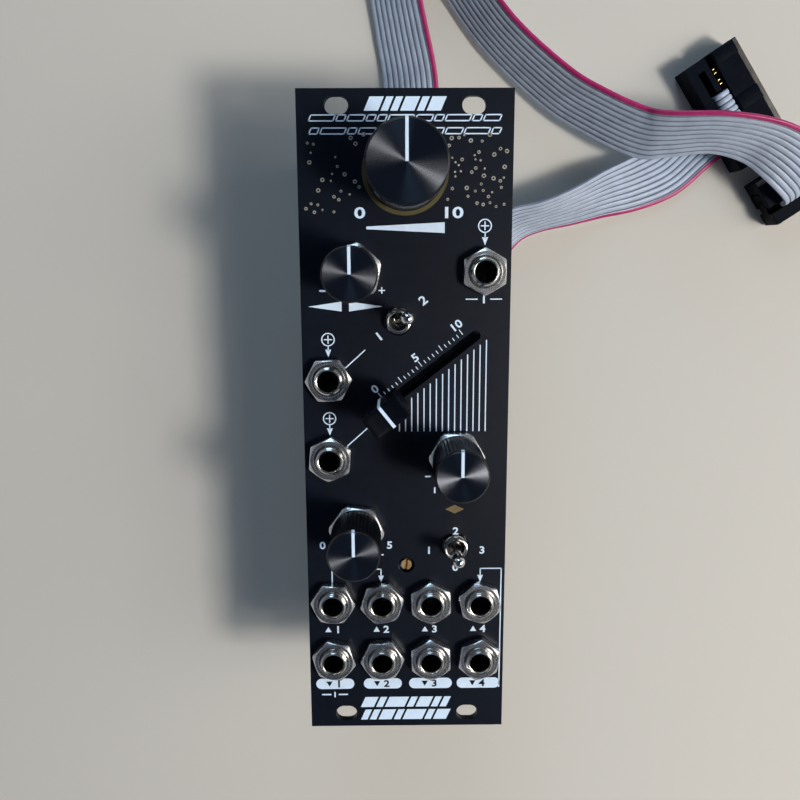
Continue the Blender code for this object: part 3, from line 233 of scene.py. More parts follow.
BUS_ROUTE = (
    (0.0125, 0.0337, 0.00555, -90, 0), (0.0166, 0.0349, 0.0059, -82, -16), (0.021, 0.0379, 0.0062, -72, -38),
    (0.0256, 0.0407, 0.0061, -72, -54), (0.0309, 0.0423, 0.0062, -76, -60), (0.038, 0.0445, 0.0059, -74, -52),
    (0.0454, 0.0473, 0.0049, -70, -38), (0.0525, 0.0496, 0.0031, -68, -22), (0.0591, 0.0526, 0.0017, -60, -7),
    (0.064, 0.0569, 0.0009, -54, 0), (0.0663, 0.0589, 0.0008, -54, 0), (0.0683, 0.0604, 0.0008, -56, 0),
)


# Objects, camera and lamps

def linked(name, data):
    """A new object in the scene."""
    item = bpy.data.objects.new(name, data)
    bpy.context.scene.collection.objects.link(item)
    return item


def make_camera():
    turn = Vector(CAMERA_TURN)
    data = bpy.data.cameras.new("camera")
    data.lens = data.sensor_width = CAMERA_LENS
    data.clip_start = 0.005
    camera = linked("camera", data)
    camera.matrix_world = Matrix.Translation(CAMERA_PLACE) @ Matrix.Rotation(-turn.length, 4, turn)
    bpy.context.scene.camera = camera


def make_lamp(name, place, size, power, colour):
    """A square soft lamp that points at the origin."""
    data = bpy.data.lights.new(name, "AREA")
    data.size, data.energy, data.color = size, power, colour
    lamp = linked(name, data)
    lamp.location = place
    lamp.rotation_euler = Vector(place).to_track_quat("Z", "Y").to_euler()


# Materials

def set_stops(node, stops):
    """Gives a colour ramp its positions and colours."""
    elements = node.color_ramp.elements
    while len(elements) < len(stops):
        elements.new(0.5)
    for element, (position, colour) in zip(elements, stops):
        element.position = position
        element.color = (*colour, 1.0)


class Look:
    """A material and the nodes that feed its shader."""

    def __init__(self, name, **fixed):
        self.material = bpy.data.materials.new(name)
        self.material.use_nodes = True
        self.tree = self.material.node_tree
        self.shader = self.tree.nodes["Principled BSDF"]
        for socket, value in fixed.items():
            self.shader.inputs[socket.replace("_", " ")].default_value = value
        self.place = self.add("ShaderNodeTexCoord").outputs["Object"]

    def add(self, kind, inputs=(), **settings):
        node = self.tree.nodes.new(kind)
        for key, value in settings.items():
            setattr(node, key, value)
        for socket, value in dict(inputs).items():
            if isinstance(value, bpy.types.NodeSocket):
                self.tree.links.new(value, node.inputs[socket])
            else:
                node.inputs[socket].default_value = value
        return node

    def noise(self, scale, detail=3.0, roughness=0.5, vector=None):
        """Noise from 0 to 1 whose features are about 1 / scale metres wide."""
        return self.add("ShaderNodeTexNoise", {"Vector": vector or self.place, "Scale": scale,
                                               "Detail": detail, "Roughness": roughness}).outputs["Fac"]

    def vector(self, operation, first, second):
        return self.add("ShaderNodeVectorMath", {0: first, 1: second}, operation=operation).outputs[0]

    def reach(self, place):
        """The distance of a place from the Z axis."""
        flat = self.vector("MULTIPLY", place, (1.0, 1.0, 0.0))
        return self.add("ShaderNodeVectorMath", {0: flat}, operation="LENGTH").outputs["Value"]

    def ramp(self, value, stops):
        node = self.add("ShaderNodeValToRGB", {"Fac": value})
        set_stops(node, stops)
        return node.outputs["Color"]

    def span(self, value, low, high):
        """Maps 0 to 1 onto low to high."""
        return self.add("ShaderNodeMapRange", {"Value": value, "To Min": low, "To Max": high}).outputs[0]

    def feed(self, **sockets):
        for socket, value in sockets.items():
            self.tree.links.new(value, self.shader.inputs[socket.replace("_", " ")])

    def bump(self, height, depth, strength=1.0):
        """Bumps the surface by a height from 0 to 1 times a depth in micrometres."""
        node = self.add("ShaderNodeBump", {"Height": height, "Distance": depth / 1e6, "Strength": strength})
        self.feed(Normal=node.outputs["Normal"])


MATERIALS = {}


def grained(name, colour, light, roughness, grain, depth, **fixed):
    """A moulded or painted surface: mottled colour, uneven gloss and a fine grain."""
    look = Look(name, **fixed)
    broad = look.noise(grain / 8, 4.0)
    fine = look.noise(grain, 2.0)
    look.feed(Base_Color=look.ramp(broad, ((0.3, colour), (0.7, light))),
              Roughness=look.span(fine, *roughness))
    look.bump(fine, depth)
    MATERIALS[name] = look.material


def metal(name, colour, light, roughness, scratch=(1.0, 1.0, 1.0)):
    """Plated or bare metal with faint scratches along the axes that are scaled least."""
    look = Look(name, Metallic=1.0)
    broad = look.noise(500.0, 4.0)
    fine = look.noise(9000.0, 3.0, 0.6, look.vector("MULTIPLY", look.place, scratch))
    look.feed(Base_Color=look.ramp(broad, ((0.35, colour), (0.65, light))),
              Roughness=look.span(fine, *roughness))
    look.bump(fine, 4)
    MATERIALS[name] = look.material


def spun(name, colour, light, roughness):
    """A lathe-turned face: fine rings about the axis and the streaks of light that they give."""
    look = Look(name, Metallic=1.0, Anisotropic=0.96, Anisotropic_Rotation=0.25)
    place = look.add("ShaderNodeTexCoord").outputs["Generated"]
    reach = look.reach(look.vector("ADD", place, (-0.5, -0.5, 0.0)))
    rings = look.add("ShaderNodeTexNoise", {"W": reach, "Scale": 160.0, "Detail": 3.0},
                     noise_dimensions="1D").outputs["Fac"]
    tangent = look.add("ShaderNodeTangent", direction_type="RADIAL", axis="Z").outputs["Tangent"]
    look.feed(Base_Color=look.ramp(rings, ((0.3, colour), (0.7, light))), Tangent=tangent,
              Roughness=look.span(rings, *roughness))
    look.bump(rings, 6, 0.5)
    MATERIALS[name] = look.material


def make_materials():
    """Darker and lighter colour, least and most roughness, grains a metre and their depth in micrometres."""
    grained("panel", (0.0014, 0.0032, 0.0085), (0.0026, 0.005, 0.0115), (0.38, 0.48), 4200, 10,
            Specular_IOR_Level=0.22)
    grained("board", (0.006, 0.042, 0.02), (0.01, 0.062, 0.03), (0.26, 0.36), 4000, 8)
    grained("board_edge", (0.13, 0.15, 0.06), (0.2, 0.215, 0.1), (0.6, 0.75), 6000, 14)
    grained("laminate", (0.13, 0.062, 0.022), (0.2, 0.105, 0.04), (0.46, 0.6), 6000, 12)
    grained("black_plastic", (0.007, 0.007, 0.009), (0.012, 0.012, 0.015), (0.32, 0.48), 9000, 12)
    grained("plug_plastic", (0.0014, 0.0026, 0.0062), (0.003, 0.0046, 0.009), (0.46, 0.6), 7000, 16,
            Specular_IOR_Level=0.04)
    # The plugs' mating edge: dust and wear, with a painted highlight in its lighter brown.
    grained("plug_edge_dust_and_highlight", (0.06, 0.048, 0.038), (0.13, 0.108, 0.088), (0.42, 0.6), 3000, 30)
    grained("cap_plastic", (0.001, 0.0018, 0.0042), (0.0022, 0.0032, 0.0064), (0.38, 0.5), 9000, 8,
            Specular_IOR_Level=0.07)
    grained("blue_plastic", (0.012, 0.05, 0.21), (0.02, 0.075, 0.29), (0.34, 0.46), 7000, 10)
    grained("sleeve", (0.01, 0.013, 0.022), (0.016, 0.02, 0.032), (0.18, 0.28), 3000, 6)
    grained("ceramic", (0.19, 0.12, 0.07), (0.26, 0.17, 0.105), (0.34, 0.46), 9000, 8)
    # Black strips under the slide control's slot.
    grained("slot_black", (0.006, 0.006, 0.007), (0.012, 0.012, 0.013), (0.85, 0.95), 12000, 40)
    grained("print_white", (0.66, 0.79, 0.96), (0.74, 0.87, 1.0), (0.44, 0.56), 7000, 6)
    grained("print_grey", (0.46, 0.48, 0.5), (0.54, 0.56, 0.58), (0.4, 0.52), 7000, 6)
    grained("olive", (0.08, 0.064, 0.022), (0.12, 0.098, 0.036), (0.34, 0.48), 3000, 6, Metallic=0.3)
    grained("gold_ink", (0.2, 0.145, 0.062), (0.27, 0.2, 0.092), (0.3, 0.44), 3000, 6, Metallic=0.4)
    grained("plating", (0.42, 0.38, 0.3), (0.66, 0.62, 0.52), (0.2, 0.34), 3000, 6, Metallic=0.4)
    grained("knob_side", (0.0035, 0.004, 0.0055), (0.006, 0.0065, 0.0085), (0.22, 0.32), 9000, 4,
            Specular_IOR_Level=0.32)
    grained("wire_grey", (0.34, 0.39, 0.48), (0.42, 0.48, 0.59), (0.34, 0.46), 3000, 10)
    # The creases between the ribbon's wires: painted shade.
    grained("wire_groove", (0.15, 0.17, 0.23), (0.2, 0.22, 0.29), (0.4, 0.52), 3000, 10)
    grained("wire_red", (0.34, 0.012, 0.1), (0.44, 0.02, 0.14), (0.34, 0.46), 3000, 10)
    metal("nickel", (0.6, 0.58, 0.54), (0.76, 0.74, 0.7), (0.1, 0.22))
    metal("nut_nickel", (0.62, 0.6, 0.58), (0.78, 0.76, 0.74), (0.2, 0.32))
    metal("chrome", (0.66, 0.65, 0.63), (0.8, 0.79, 0.77), (0.06, 0.15))
    metal("tin", (0.5, 0.49, 0.46), (0.66, 0.65, 0.61), (0.26, 0.42))
    metal("steel", (0.42, 0.42, 0.42), (0.56, 0.56, 0.57), (0.28, 0.46), (1.0, 6.0, 1.0))
    metal("brass", (0.62, 0.38, 0.15), (0.78, 0.52, 0.25), (0.34, 0.5))
    metal("gold", (0.74, 0.5, 0.16), (0.88, 0.64, 0.26), (0.14, 0.28))
    metal("aluminium", (0.62, 0.62, 0.63), (0.74, 0.74, 0.75), (0.24, 0.4))
    spun("knob_face", (0.13, 0.138, 0.156), (0.195, 0.205, 0.226), (0.21, 0.26))


# Pieces

def finish(name, shape, materials, body=ROOT, sharp=35.0, scale=MM, node=None):
    """Makes a piece of a bmesh, gives it its materials, rides it on its body, and hides the CAD node it
    stands for.
    """
    bmesh.ops.recalc_face_normals(shape, faces=shape.faces)
    mesh = bpy.data.meshes.new(name)
    shape.to_mesh(mesh)
    shape.free()
    mesh.transform(Matrix.Scale(scale, 4))
    for material in materials.split():
        mesh.materials.append(MATERIALS[material])
    mesh.shade_smooth()
    mesh.set_sharp_from_angle(angle=radians(sharp))
    piece = linked(name, mesh)
    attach(piece, body)
    if node:
        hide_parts(node)
    return piece


def soften(node, material, width):
    """Gives a carried-over CAD node its material and rounds its edges."""
    piece = NODES[node]
    piece.data.materials.clear()
    piece.data.materials.append(MATERIALS[material])
    weld = piece.modifiers.new("joining", "WELD")
    weld.merge_threshold = 0.001 * MM
    bevel = piece.modifiers.new("rounding", "BEVEL")
    bevel.width = width * MM
    bevel.segments = 2
    bevel.limit_method = "ANGLE"
    bevel.angle_limit = radians(40)


# Flat cable

def width_direction(heading, rise):
    heading, rise = radians(heading), radians(rise)
    return Vector((cos(rise) * cos(heading), cos(rise) * sin(heading), sin(rise)))


def between(values, index, share):
    """A point of the smooth curve through the values, part of the way from one to the next."""
    a = values[max(index - 1, 0)]
    b, c = values[index], values[index + 1]
    d = values[min(index + 2, len(values) - 1)]
    slope = (c - a) * share
    bend = (2 * a - 5 * b + 4 * c - d) * share ** 2
    twist = (3 * b - a - 3 * c + d) * share ** 3
    return b + (slope + bend + twist) / 2


def finer(values, rows):
    """The smooth curve through the values, in so many steps from each to the next."""
    return [between(values, index, step / rows) for index in range(len(values) - 1)
            for step in range(rows)] + values[-1:]


def direction(points, index):
    """Which way a run of points goes at one of them."""
    return (points[min(index + 1, len(points) - 1)] - points[max(index - 1, 0)]).normalized()


def route_stations(route):
    """Centres, width directions and normals along a route."""
    points = finer([Vector(station[:3]) for station in route], RIBBON_ROWS)
    sides = finer([width_direction(*station[3:]) for station in route], RIBBON_ROWS)
    stations = []
    for index, (point, side) in enumerate(zip(points, sides)):
        ahead = direction(points, index)
        side = (side - side.dot(ahead) * ahead).normalized()
        stations.append((point, side, side.cross(ahead)))
    return stations


def folded_point(across, run):
    """Where a point of the flat ribbon goes when it rolls round a bar that lies at 45 degrees."""
    beyond = -(across + run) / sqrt(2)
    foot = Vector((FOLD_X + (across - run) / 2, FOLD_Y + (run - across) / 2, FOLD_LEVEL))
    inward = Vector((-1, -1, 0)) / sqrt(2)
    arc = pi * FOLD_RADIUS
    if beyond <= 0:
        return foot + inward * beyond
    if beyond < arc:
        angle = beyond / FOLD_RADIUS
        rise = FOLD_RADIUS * (1 - cos(angle))
        return foot + inward * FOLD_RADIUS * sin(angle) + Vector((0, 0, rise))
    return foot - inward * (beyond - arc) + Vector((0, 0, 2 * FOLD_RADIUS))


def ribbon_outline():
    """The ribbon's cross-section, from its left edge over the wires and back, and each point's wire."""
    pitch = RIBBON_WIDTH / WIRE_COUNT
    top = []
    for wire in range(WIRE_COUNT):
        for sample in range(WIRE_SAMPLES):
            share = sample / WIRE_SAMPLES
            height = (RIBBON_WEB + (RIBBON_THICKNESS - RIBBON_WEB) * sin(pi * share) ** 0.5) / 2
            top.append(((wire + share) * pitch - RIBBON_WIDTH / 2, height, wire))
    top = [(-RIBBON_WIDTH / 2, 0.0, 0)] + top[1:] + [(RIBBON_WIDTH / 2, 0.0, WIRE_COUNT - 1)]
    return top + [(across, -height, wire) for across, height, wire in reversed(top[1:-1])]


def ribbon_row(station, outline):
    point, side, normal = station
    return [point + side * across + normal * height for across, height, _ in outline]


def fold_row(run, outline):
    """A row across the fold. Its normal at each wire comes from the fold's own surface."""
    small = 0.05 * MM
    row = []
    for across, height, _ in outline:
        side = folded_point(across + small, run) - folded_point(across - small, run)
        ahead = folded_point(across, run - small) - folded_point(across, run + small)
        row.append(folded_point(across, run) + side.cross(ahead).normalized() * height)
    return row


def ribbon_skin(shape, rows, outline):
    """Joins the rows. Its last wire is red, and the grooves between the wires are darker: painted shade in
    the creases between the wires.
    """
    grid = [[shape.verts.new(point) for point in row] for row in rows]
    count = len(outline)
    for lower, upper in zip(grid, grid[1:]):
        for index in range(count):
            after = (index + 1) % count
            face = shape.faces.new((lower[index], lower[after], upper[after], upper[index]))
            wire = outline[index][2] if index < count / 2 else outline[after][2]
            across = (outline[index][0] + outline[after][0]) / 2 + RIBBON_WIDTH / 2
            share = across * WIRE_COUNT / RIBBON_WIDTH % 1.0
            # Faces at a crease between wires get the darker material, as painted shade.
            groove = not 1 / WIRE_SAMPLES < share < 1 - 1 / WIRE_SAMPLES
            red = wire == WIRE_COUNT - 1 and share > RED_START
            face.material_index = 1 if red else 2 * int(groove)
    shape.faces.new(grid[0])
    shape.faces.new(grid[-1])


def ribbon(name, rows, outline, path, **facts):
    """A ribbed ribbon through rows of points, closed at both ends, with one red edge."""
    shape = bmesh.new()
    ribbon_skin(shape, rows, outline)
    piece = finish(name, shape, RIBBON_MATERIALS, sharp=60.0, scale=1.0,
                   node=name.replace("_cable", ""))


def make_ribbons(outline, end_pieces, bus_pieces):
    loop, bus = route_stations(LOOP_ROUTE), route_stations(BUS_ROUTE)
    ribbon("ribbon_loop_cable", [ribbon_row(station, outline) for station in loop], outline,
           [tuple(station[0]) for station in loop], length=LOOP_LENGTH, with_pieces=end_pieces)
    last = FOLD_X - BUS_ROUTE[0][0] - pi * FOLD_RADIUS / sqrt(2)
    runs = [FOLD_START + (last - FOLD_START) * index / FOLD_ROWS for index in range(FOLD_ROWS)]
    rows = [fold_row(run, outline) for run in runs] + [ribbon_row(station, outline) for station in bus]
    path = [tuple(folded_point(0.0, run)) for run in runs] + [tuple(station[0]) for station in bus]
    ribbon("ribbon_to_bus_cable", rows, outline, path, length=TO_BUS_LENGTH, with_pieces=bus_pieces)


# Shapes, in millimetres

def skin(shape, rings, closed=False, material=0):
    """Joins rings of points with faces. A ring of one point is a pole; open ends get a lid."""
    rows = [[shape.verts.new(point) for point in row] for row in rings]
    pairs = list(zip(rows, rows[1:]))
    if closed:
        pairs.append((rows[-1], rows[0]))
    faces = []
    for lower, upper in pairs:
        count = max(len(lower), len(upper))
        for index in range(count):
            after = (index + 1) % count
            if len(lower) == 1:
                corners = (lower[0], upper[after], upper[index])
            elif len(upper) == 1:
                corners = (lower[index], lower[after], upper[0])
            else:
                corners = (lower[index], lower[after], upper[after], upper[index])
            faces.append(shape.faces.new(corners))
    if not closed:
        faces += [shape.faces.new(row) for row in (rows[0], rows[-1]) if len(row) > 2]
    for face in faces:
        face.material_index = material
    return shape


def ring(angles, radius, height, at):
    """A ring of points, or a pole. Its radius is a number or a function of the angle."""
    points = []
    for angle in angles if radius else [0.0]:
        reach = radius(angle) if callable(radius) else radius
        points.append(at @ Vector((reach * cos(angle), reach * sin(angle), height)))
    return points


def lathe(shape, profile, at=PLAIN, sides=48, closed=False):
    """Turns a profile of (radius, height) points about an axis, by a number of sides or a list of angles."""
    angles = [TAU * step / sides for step in range(sides)] if isinstance(sides, int) else sides
    return skin(shape, [ring(angles, radius, height, at) for radius, height in profile], closed)


def prism(shape, outline, low, high, at=PLAIN):
    return skin(shape, [[at @ Vector((x, y, height)) for x, y in outline] for height in (low, high)])


def box(shape, low, high, at=PLAIN, bevel=0.0, material=0):
    """A box between two corners with rounded edges."""
    low, high = Vector(low), Vector(high)
    place = at @ Matrix.Translation((low + high) / 2) @ Matrix.Diagonal((*(high - low), 1.0))
    corners = bmesh.ops.create_cube(shape, size=1.0, matrix=place)["verts"]
    for face in {face for corner in corners for face in corner.link_faces}:
        face.material_index = material
    if bevel:
        edges = list({edge for corner in corners for edge in corner.link_edges})
        bmesh.ops.bevel(shape, geom=edges, offset=bevel, segments=2, profile=0.5, affect="EDGES")
    return shape


def block(shape, x, y, half_x, half_y, low, high, at=PLAIN, bevel=0.0, material=0):
    """A box about a place, between two heights."""
    box(shape, (x - half_x, y - half_y, low), (x + half_x, y + half_y, high), at, bevel, material)


def shifted(x=0.0, y=0.0, z=0.0, turn=0.0):
    return Matrix.Translation((x, y, z)) @ Matrix.Rotation(turn, 4, "Z")


def extent(node):
    """The lowest and highest corner of a CAD node's box, in millimetres."""
    return [[value / MM for value in corner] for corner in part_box(node)]


def middle(node):
    """The centre of a CAD node's box, in millimetres."""
    low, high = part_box(node)
    return (Vector(low) + Vector(high)) / (2 * MM)


def over(node, height=0.0, turn=0.0):
    """A place on a node's upright axis."""
    centre = middle(node)
    return shifted(centre.x, centre.y, height, turn)


def corner_angle(node):
    """The direction of a nut's corner that lies furthest from its axis."""
    centre = middle(node) * MM
    corner = max((vertex.co for vertex in NODES[node].data.vertices), key=lambda co: (co - centre).xy.length)
    return atan2(corner.y - centre.y, corner.x - centre.x)


def rounded(length, width, radius, steps=5, parts=(1, 1)):
    """The outline of a bar with rounded corners, its long and short sides in so many parts."""
    outline = []
    for corner, (i, j) in enumerate(((1, 1), (-1, 1), (-1, -1), (1, -1))):
        for step in range(steps + 1):
            angle = pi / 2 * (corner + step / steps)
            outline.append((i * (length / 2 - radius) + radius * cos(angle),
                            j * (width / 2 - radius) + radius * sin(angle)))
        x, y = outline[-1]
        side, count = ((-2 * x, 0.0), parts[0]) if corner % 2 == 0 else ((0.0, -2 * y), parts[1])
        outline += [(x + side[0] * step / count, y + side[1] * step / count) for step in range(1, count)]
    return outline


def thread(radius, depth, low, high, pitch):
    """A profile of ridges between two heights."""
    count = int((high - low) / pitch)
    profile = []
    for turn in range(count):
        start = low + turn * pitch
        profile += [(radius - depth, start), (radius, start + pitch * 0.4), (radius, start + pitch * 0.6)]
    return profile + [(radius - depth, low + count * pitch)]


# Nuts and jacks

def make_nut(node, flats, bore):
    """A hexagonal nut with turned chamfers on both sides and in its bore."""
    start, low, high = corner_angle(node), PANEL_TOP + 0.02, extent(node)[1][2]
    angles = [TAU * step / NUT_SIDES + start for step in range(NUT_SIDES)]

    def hexagon(depth):
        def radius(angle):
            turn = (angle - start) % (TAU / 6) - TAU / 12
            return min(flats / 2 / cos(turn), flats / 2 * 0.965 + NUT_CHAMFER * depth)
        return radius

    profile = [(hexagon(depth), high - depth) for depth in NUT_STEPS]
    profile += [(hexagon(depth), low + depth) for depth in reversed(NUT_STEPS)]
    profile += [(bore + 0.3, low), (bore, low + 0.25), (bore, high - 0.3), (bore + 0.3, high)]
    shape = lathe(bmesh.new(), profile, over(node), angles, closed=True)
    finish(f"{node}_detail", shape, "nut_nickel", sharp=22.0, node=node)


def make_jack(name):
    """A jack: a moulded housing, a threaded bushing, the tip spring and three legs."""
    node = f"jack_{name}"
    centre = middle(f"jack_nut_{name}")
    (left, front, base), (right, back, rim) = extent(node)
    at = shifted(centre.x, centre.y)
    east, north, west, south = right - centre.x, back - centre.y, centre.x - left, centre.y - front
    corners = (atan2(north, east), pi - atan2(north, west), pi + atan2(south, west), -atan2(south, east))
    angles = sorted([TAU * step / 40 + 0.02 for step in range(40)] + [angle % TAU for angle in corners])

    def outline(inset):
        def radius(angle):
            x, y = cos(angle), sin(angle)
            return min(((east if x > 0 else west) - inset) / max(abs(x), 1e-6),
                       ((north if y > 0 else south) - inset) / max(abs(y), 1e-6))
        return radius

    top = PANEL_BASE - 0.3
    profile = ((0.0, base + 0.8), (JACK_BORE, base + 0.8), (JACK_BORE, top), (outline(0.25), top),
               (outline(0.0), top - 0.25), (outline(0.0), top - 2.0), (outline(0.18), top - 2.1),
               (outline(0.18), top - 2.4), (outline(0.0), top - 2.5), (outline(0.0), base + 0.25),
               (outline(0.25), base), (0.0, base))
    shape = lathe(bmesh.new(), profile, at, angles)
    finish(f"{node}_housing", shape, "black_plastic", node=node)

    profile = [(JACK_BORE, top - 0.02)] + thread(JACK_THREAD, 0.17, top - 0.02, rim - 0.72, 0.5)
    profile += [(radius, rim - depth) for radius, depth in JACK_LIP] + [(JACK_BORE, rim - 0.8)]
    finish(f"{node}_bushing", lathe(bmesh.new(), profile, at, closed=True), "nickel", sharp=28.0)

    spring = [(place, base + rise) for place, rise in JACK_SPRING]
    shape = prism(bmesh.new(), spring, -0.9, 0.9, at @ UPRIGHT)
    for y in JACK_LEGS:
        block(shape, 0.0, y, 0.45, 0.15, base - LEG_LENGTH, base + 0.4, at, 0.05)
    finish(f"{node}_contacts", shape, "tin")


# Potentiometers and knobs

def make_pot(name):
    """A potentiometer: a sheet-metal can on a laminate base, a threaded bushing and five legs."""
    node = f"pot_body_{name}"
    centre = middle(f"pot_nut_{name}")
    (left, lowest, base), (right, highest, rim) = extent(node)
    turned = highest - centre.y < centre.y - lowest
    front, back = sorted((highest - centre.y, centre.y - lowest))
    half = (right - left) / 2
    at = shifted(centre.x, centre.y, base, pi if turned else 0.0)
    shape = bmesh.new()
    box(shape, (-half, -front, 1.4), (half, back - 0.9, POT_HEIGHT), at, 0.3)
    box(shape, (-half + 0.6, -front + 0.5, POT_HEIGHT - 0.1), (half - 0.6, back - 2.2, POT_HEIGHT + 0.25), at,
        0.12)
    for side in SIDES:
        for y in (-2.6, 3.0):
            block(shape, side * (half - 0.35), y, 0.3, 0.9, 0.1, 1.9, at, 0.08)
        block(shape, side * (half - 0.3), 0.0, 0.28, 0.9, -LEG_LENGTH, 1.6, at, 0.08)
    finish(f"{node}_can", shape, "steel", node=node)

    shape = box(bmesh.new(), (-half + 0.1, -front + 0.1, 0.0), (half - 0.1, back, 1.5), at, 0.1)
    finish(f"{node}_base", shape, "laminate")

    shape = bmesh.new()
    for x in (-2.5, 0.0, 2.5):
        box(shape, (x - 0.5, back - 1.2, 0.4), (x + 0.5, back + 0.12, 0.75), at, 0.06)
        box(shape, (x - 0.35, back - 0.35, -LEG_LENGTH), (x + 0.35, back - 0.05, 0.6), at, 0.06)
    finish(f"{node}_legs", shape, "tin")

    flange = base + POT_HEIGHT + 0.2
    profile = [(POT_BORE, flange), (4.6, flange), (4.6, flange + 0.7), (POT_THREAD - 0.15, flange + 0.75)]
    profile += thread(POT_THREAD, 0.16, flange + 0.8, rim - 0.45, 0.5)
    profile += [(POT_THREAD - 0.25, rim - 0.3), (POT_THREAD - 0.45, rim), (POT_BORE + 0.15, rim),
                (POT_BORE, rim - 0.2)]
    shape = lathe(bmesh.new(), profile, shifted(centre.x, centre.y), closed=True)
    finish(f"{node}_bushing", shape, "nickel", sharp=28.0)


def make_pointer(node, body, radius, top, at):
    """The white line on a knob, from its centre over the rim."""
    rows = [(0.0, top + 0.02), (radius - 0.32, top + 0.02), (radius + 0.015, top - 0.30),
            (radius + 0.015, top - 0.9)]
    rows += [(y - 0.1, z - 0.1) for y, z in reversed(rows[1:])] + [(0.0, top - 0.08)]
    shape = prism(bmesh.new(), rows, -POINTER_WIDTH / 2, POINTER_WIDTH / 2, at @ UPRIGHT)
    finish(f"{node}_pointer", shape, "print_white", body, 20.0)


def make_knob(name):
    """A turned knob with a spun face, a pointer line and, on a small one, a fluted side."""
    node, body = f"knob_{name}", f"{name}_knob"
    centre = middle(node)
    (left, _, base), (right, _, top) = extent(node)
    radius = round((right - left) / 2, 2)
    at = shifted(centre.x, centre.y)
    large = radius > 6
    inset = 0.42 if large else 0.32

    def fluted(angle):
        return radius - FLUTE_DEPTH * (0.5 - 0.5 * cos(FLUTE_COUNT * angle)) ** 0.7

    side = radius if large else fluted
    start = top - (0.50 if large else 0.95)
    profile = [(0.0, base + 0.9), (radius - 0.9, base + 0.6), (radius - 0.9, base + 0.05),
               (radius - 0.75, base), (side, base + 0.15), (side, start)]
    if not large:
        profile += [(radius - 0.02, start + 0.15), (radius - 0.02, top - 0.32)]
    profile += [(radius - 0.18 * inset, top - 0.24), (radius - 0.5 * inset, top - 0.12),
                (radius - inset, top), (0.0, top - 0.05)]
    shape = lathe(bmesh.new(), profile, at, 144 if large else 4 * FLUTE_COUNT)
    axis = Vector((centre.x, centre.y, 0))
    for face in shape.faces:
        face.material_index = int(all((vert.co - axis).xy.length < radius - inset + 0.01
                                      and vert.co.z > top - 0.1 for vert in face.verts))
    finish(f"{node}_detail", shape, "knob_side knob_face", body, 26.0, node=node)
    make_pointer(node, body, radius, top, at)


# Slide control

def cap_level(along, height):
    """A height on the cap's top, which dips in its middle."""
    return height - CAP_DIP * (1 - (2 * along / CAP_LENGTH) ** 2)


def make_fader():
    """The slide control's cap with its white line, and two black strips under the panel's slot."""
    (_, _, base), (_, _, top) = extent("fader_cap")
    at = over("fader_cap", turn=FADER_ANGLE)
    crown = top - CAP_CROWN
    rings = []
    for step in range(CAP_STEPS + 1):
        share = step / CAP_STEPS
        inset = 0.0 if step else 0.25
        half = CAP_LENGTH / 2 - CAP_WAIST * sin(pi * share) ** 1.3 - inset
        outline = rounded(2 * half, CAP_WIDTH - 2 * inset, 0.45, parts=CAP_PARTS)
        rings.append([at @ Vector((x, y, base + (crown - base) * share if share < 1 else cap_level(x, crown)))
                      for x, y in outline])
    for inset, rise in ((0.06, 0.16), (0.18, 0.28), (0.38, 0.35), (1.0, 0.35), (1.8, 0.35), (2.38, 0.35)):
        radius = min(0.42, CAP_WIDTH / 2 - inset - 0.01)
        outline = rounded(CAP_LENGTH - 2 * inset, CAP_WIDTH - 2 * inset, radius, parts=CAP_PARTS)
        rings.append([at @ Vector((x, y, cap_level(x, crown + rise))) for x, y in outline])
    finish("fader_cap_detail", skin(bmesh.new(), rings), "cap_plastic", "fader", 40.0,
           node="fader_cap")

    level = top - CAP_DIP + 0.03
    edge = CAP_WIDTH / 2 + 0.03
    half = [(edge, base + 0.3), (edge, level - 0.38), (edge - 0.14, level - 0.12), (edge - 0.42, level)]
    rows = [(-y, z) for y, z in half] + half[::-1]
    inner = [(y * 0.95, z - (0.10 if abs(y) < edge else 0.0)) for y, z in rows]
    shape = prism(bmesh.new(), rows + inner[::-1], -CAP_LINE / 2, CAP_LINE / 2, at @ UPRIGHT)
    finish("fader_cap_line", shape, "print_white", "fader", 20.0)

    # Two black strips under the panel's slot, one to each side of the lever's path.
    at = over("fader_frame", extent("fader_frame")[1][2], FADER_ANGLE)
    shape = bmesh.new()
    for side in SIDES:
        block(shape, 0.0, side * 2.0, 13.0, 1.25, 0.05, 0.75, at, 0.2)
    finish("fader_slot_strips", shape, "slot_black")


# Toggle switches and trimmer

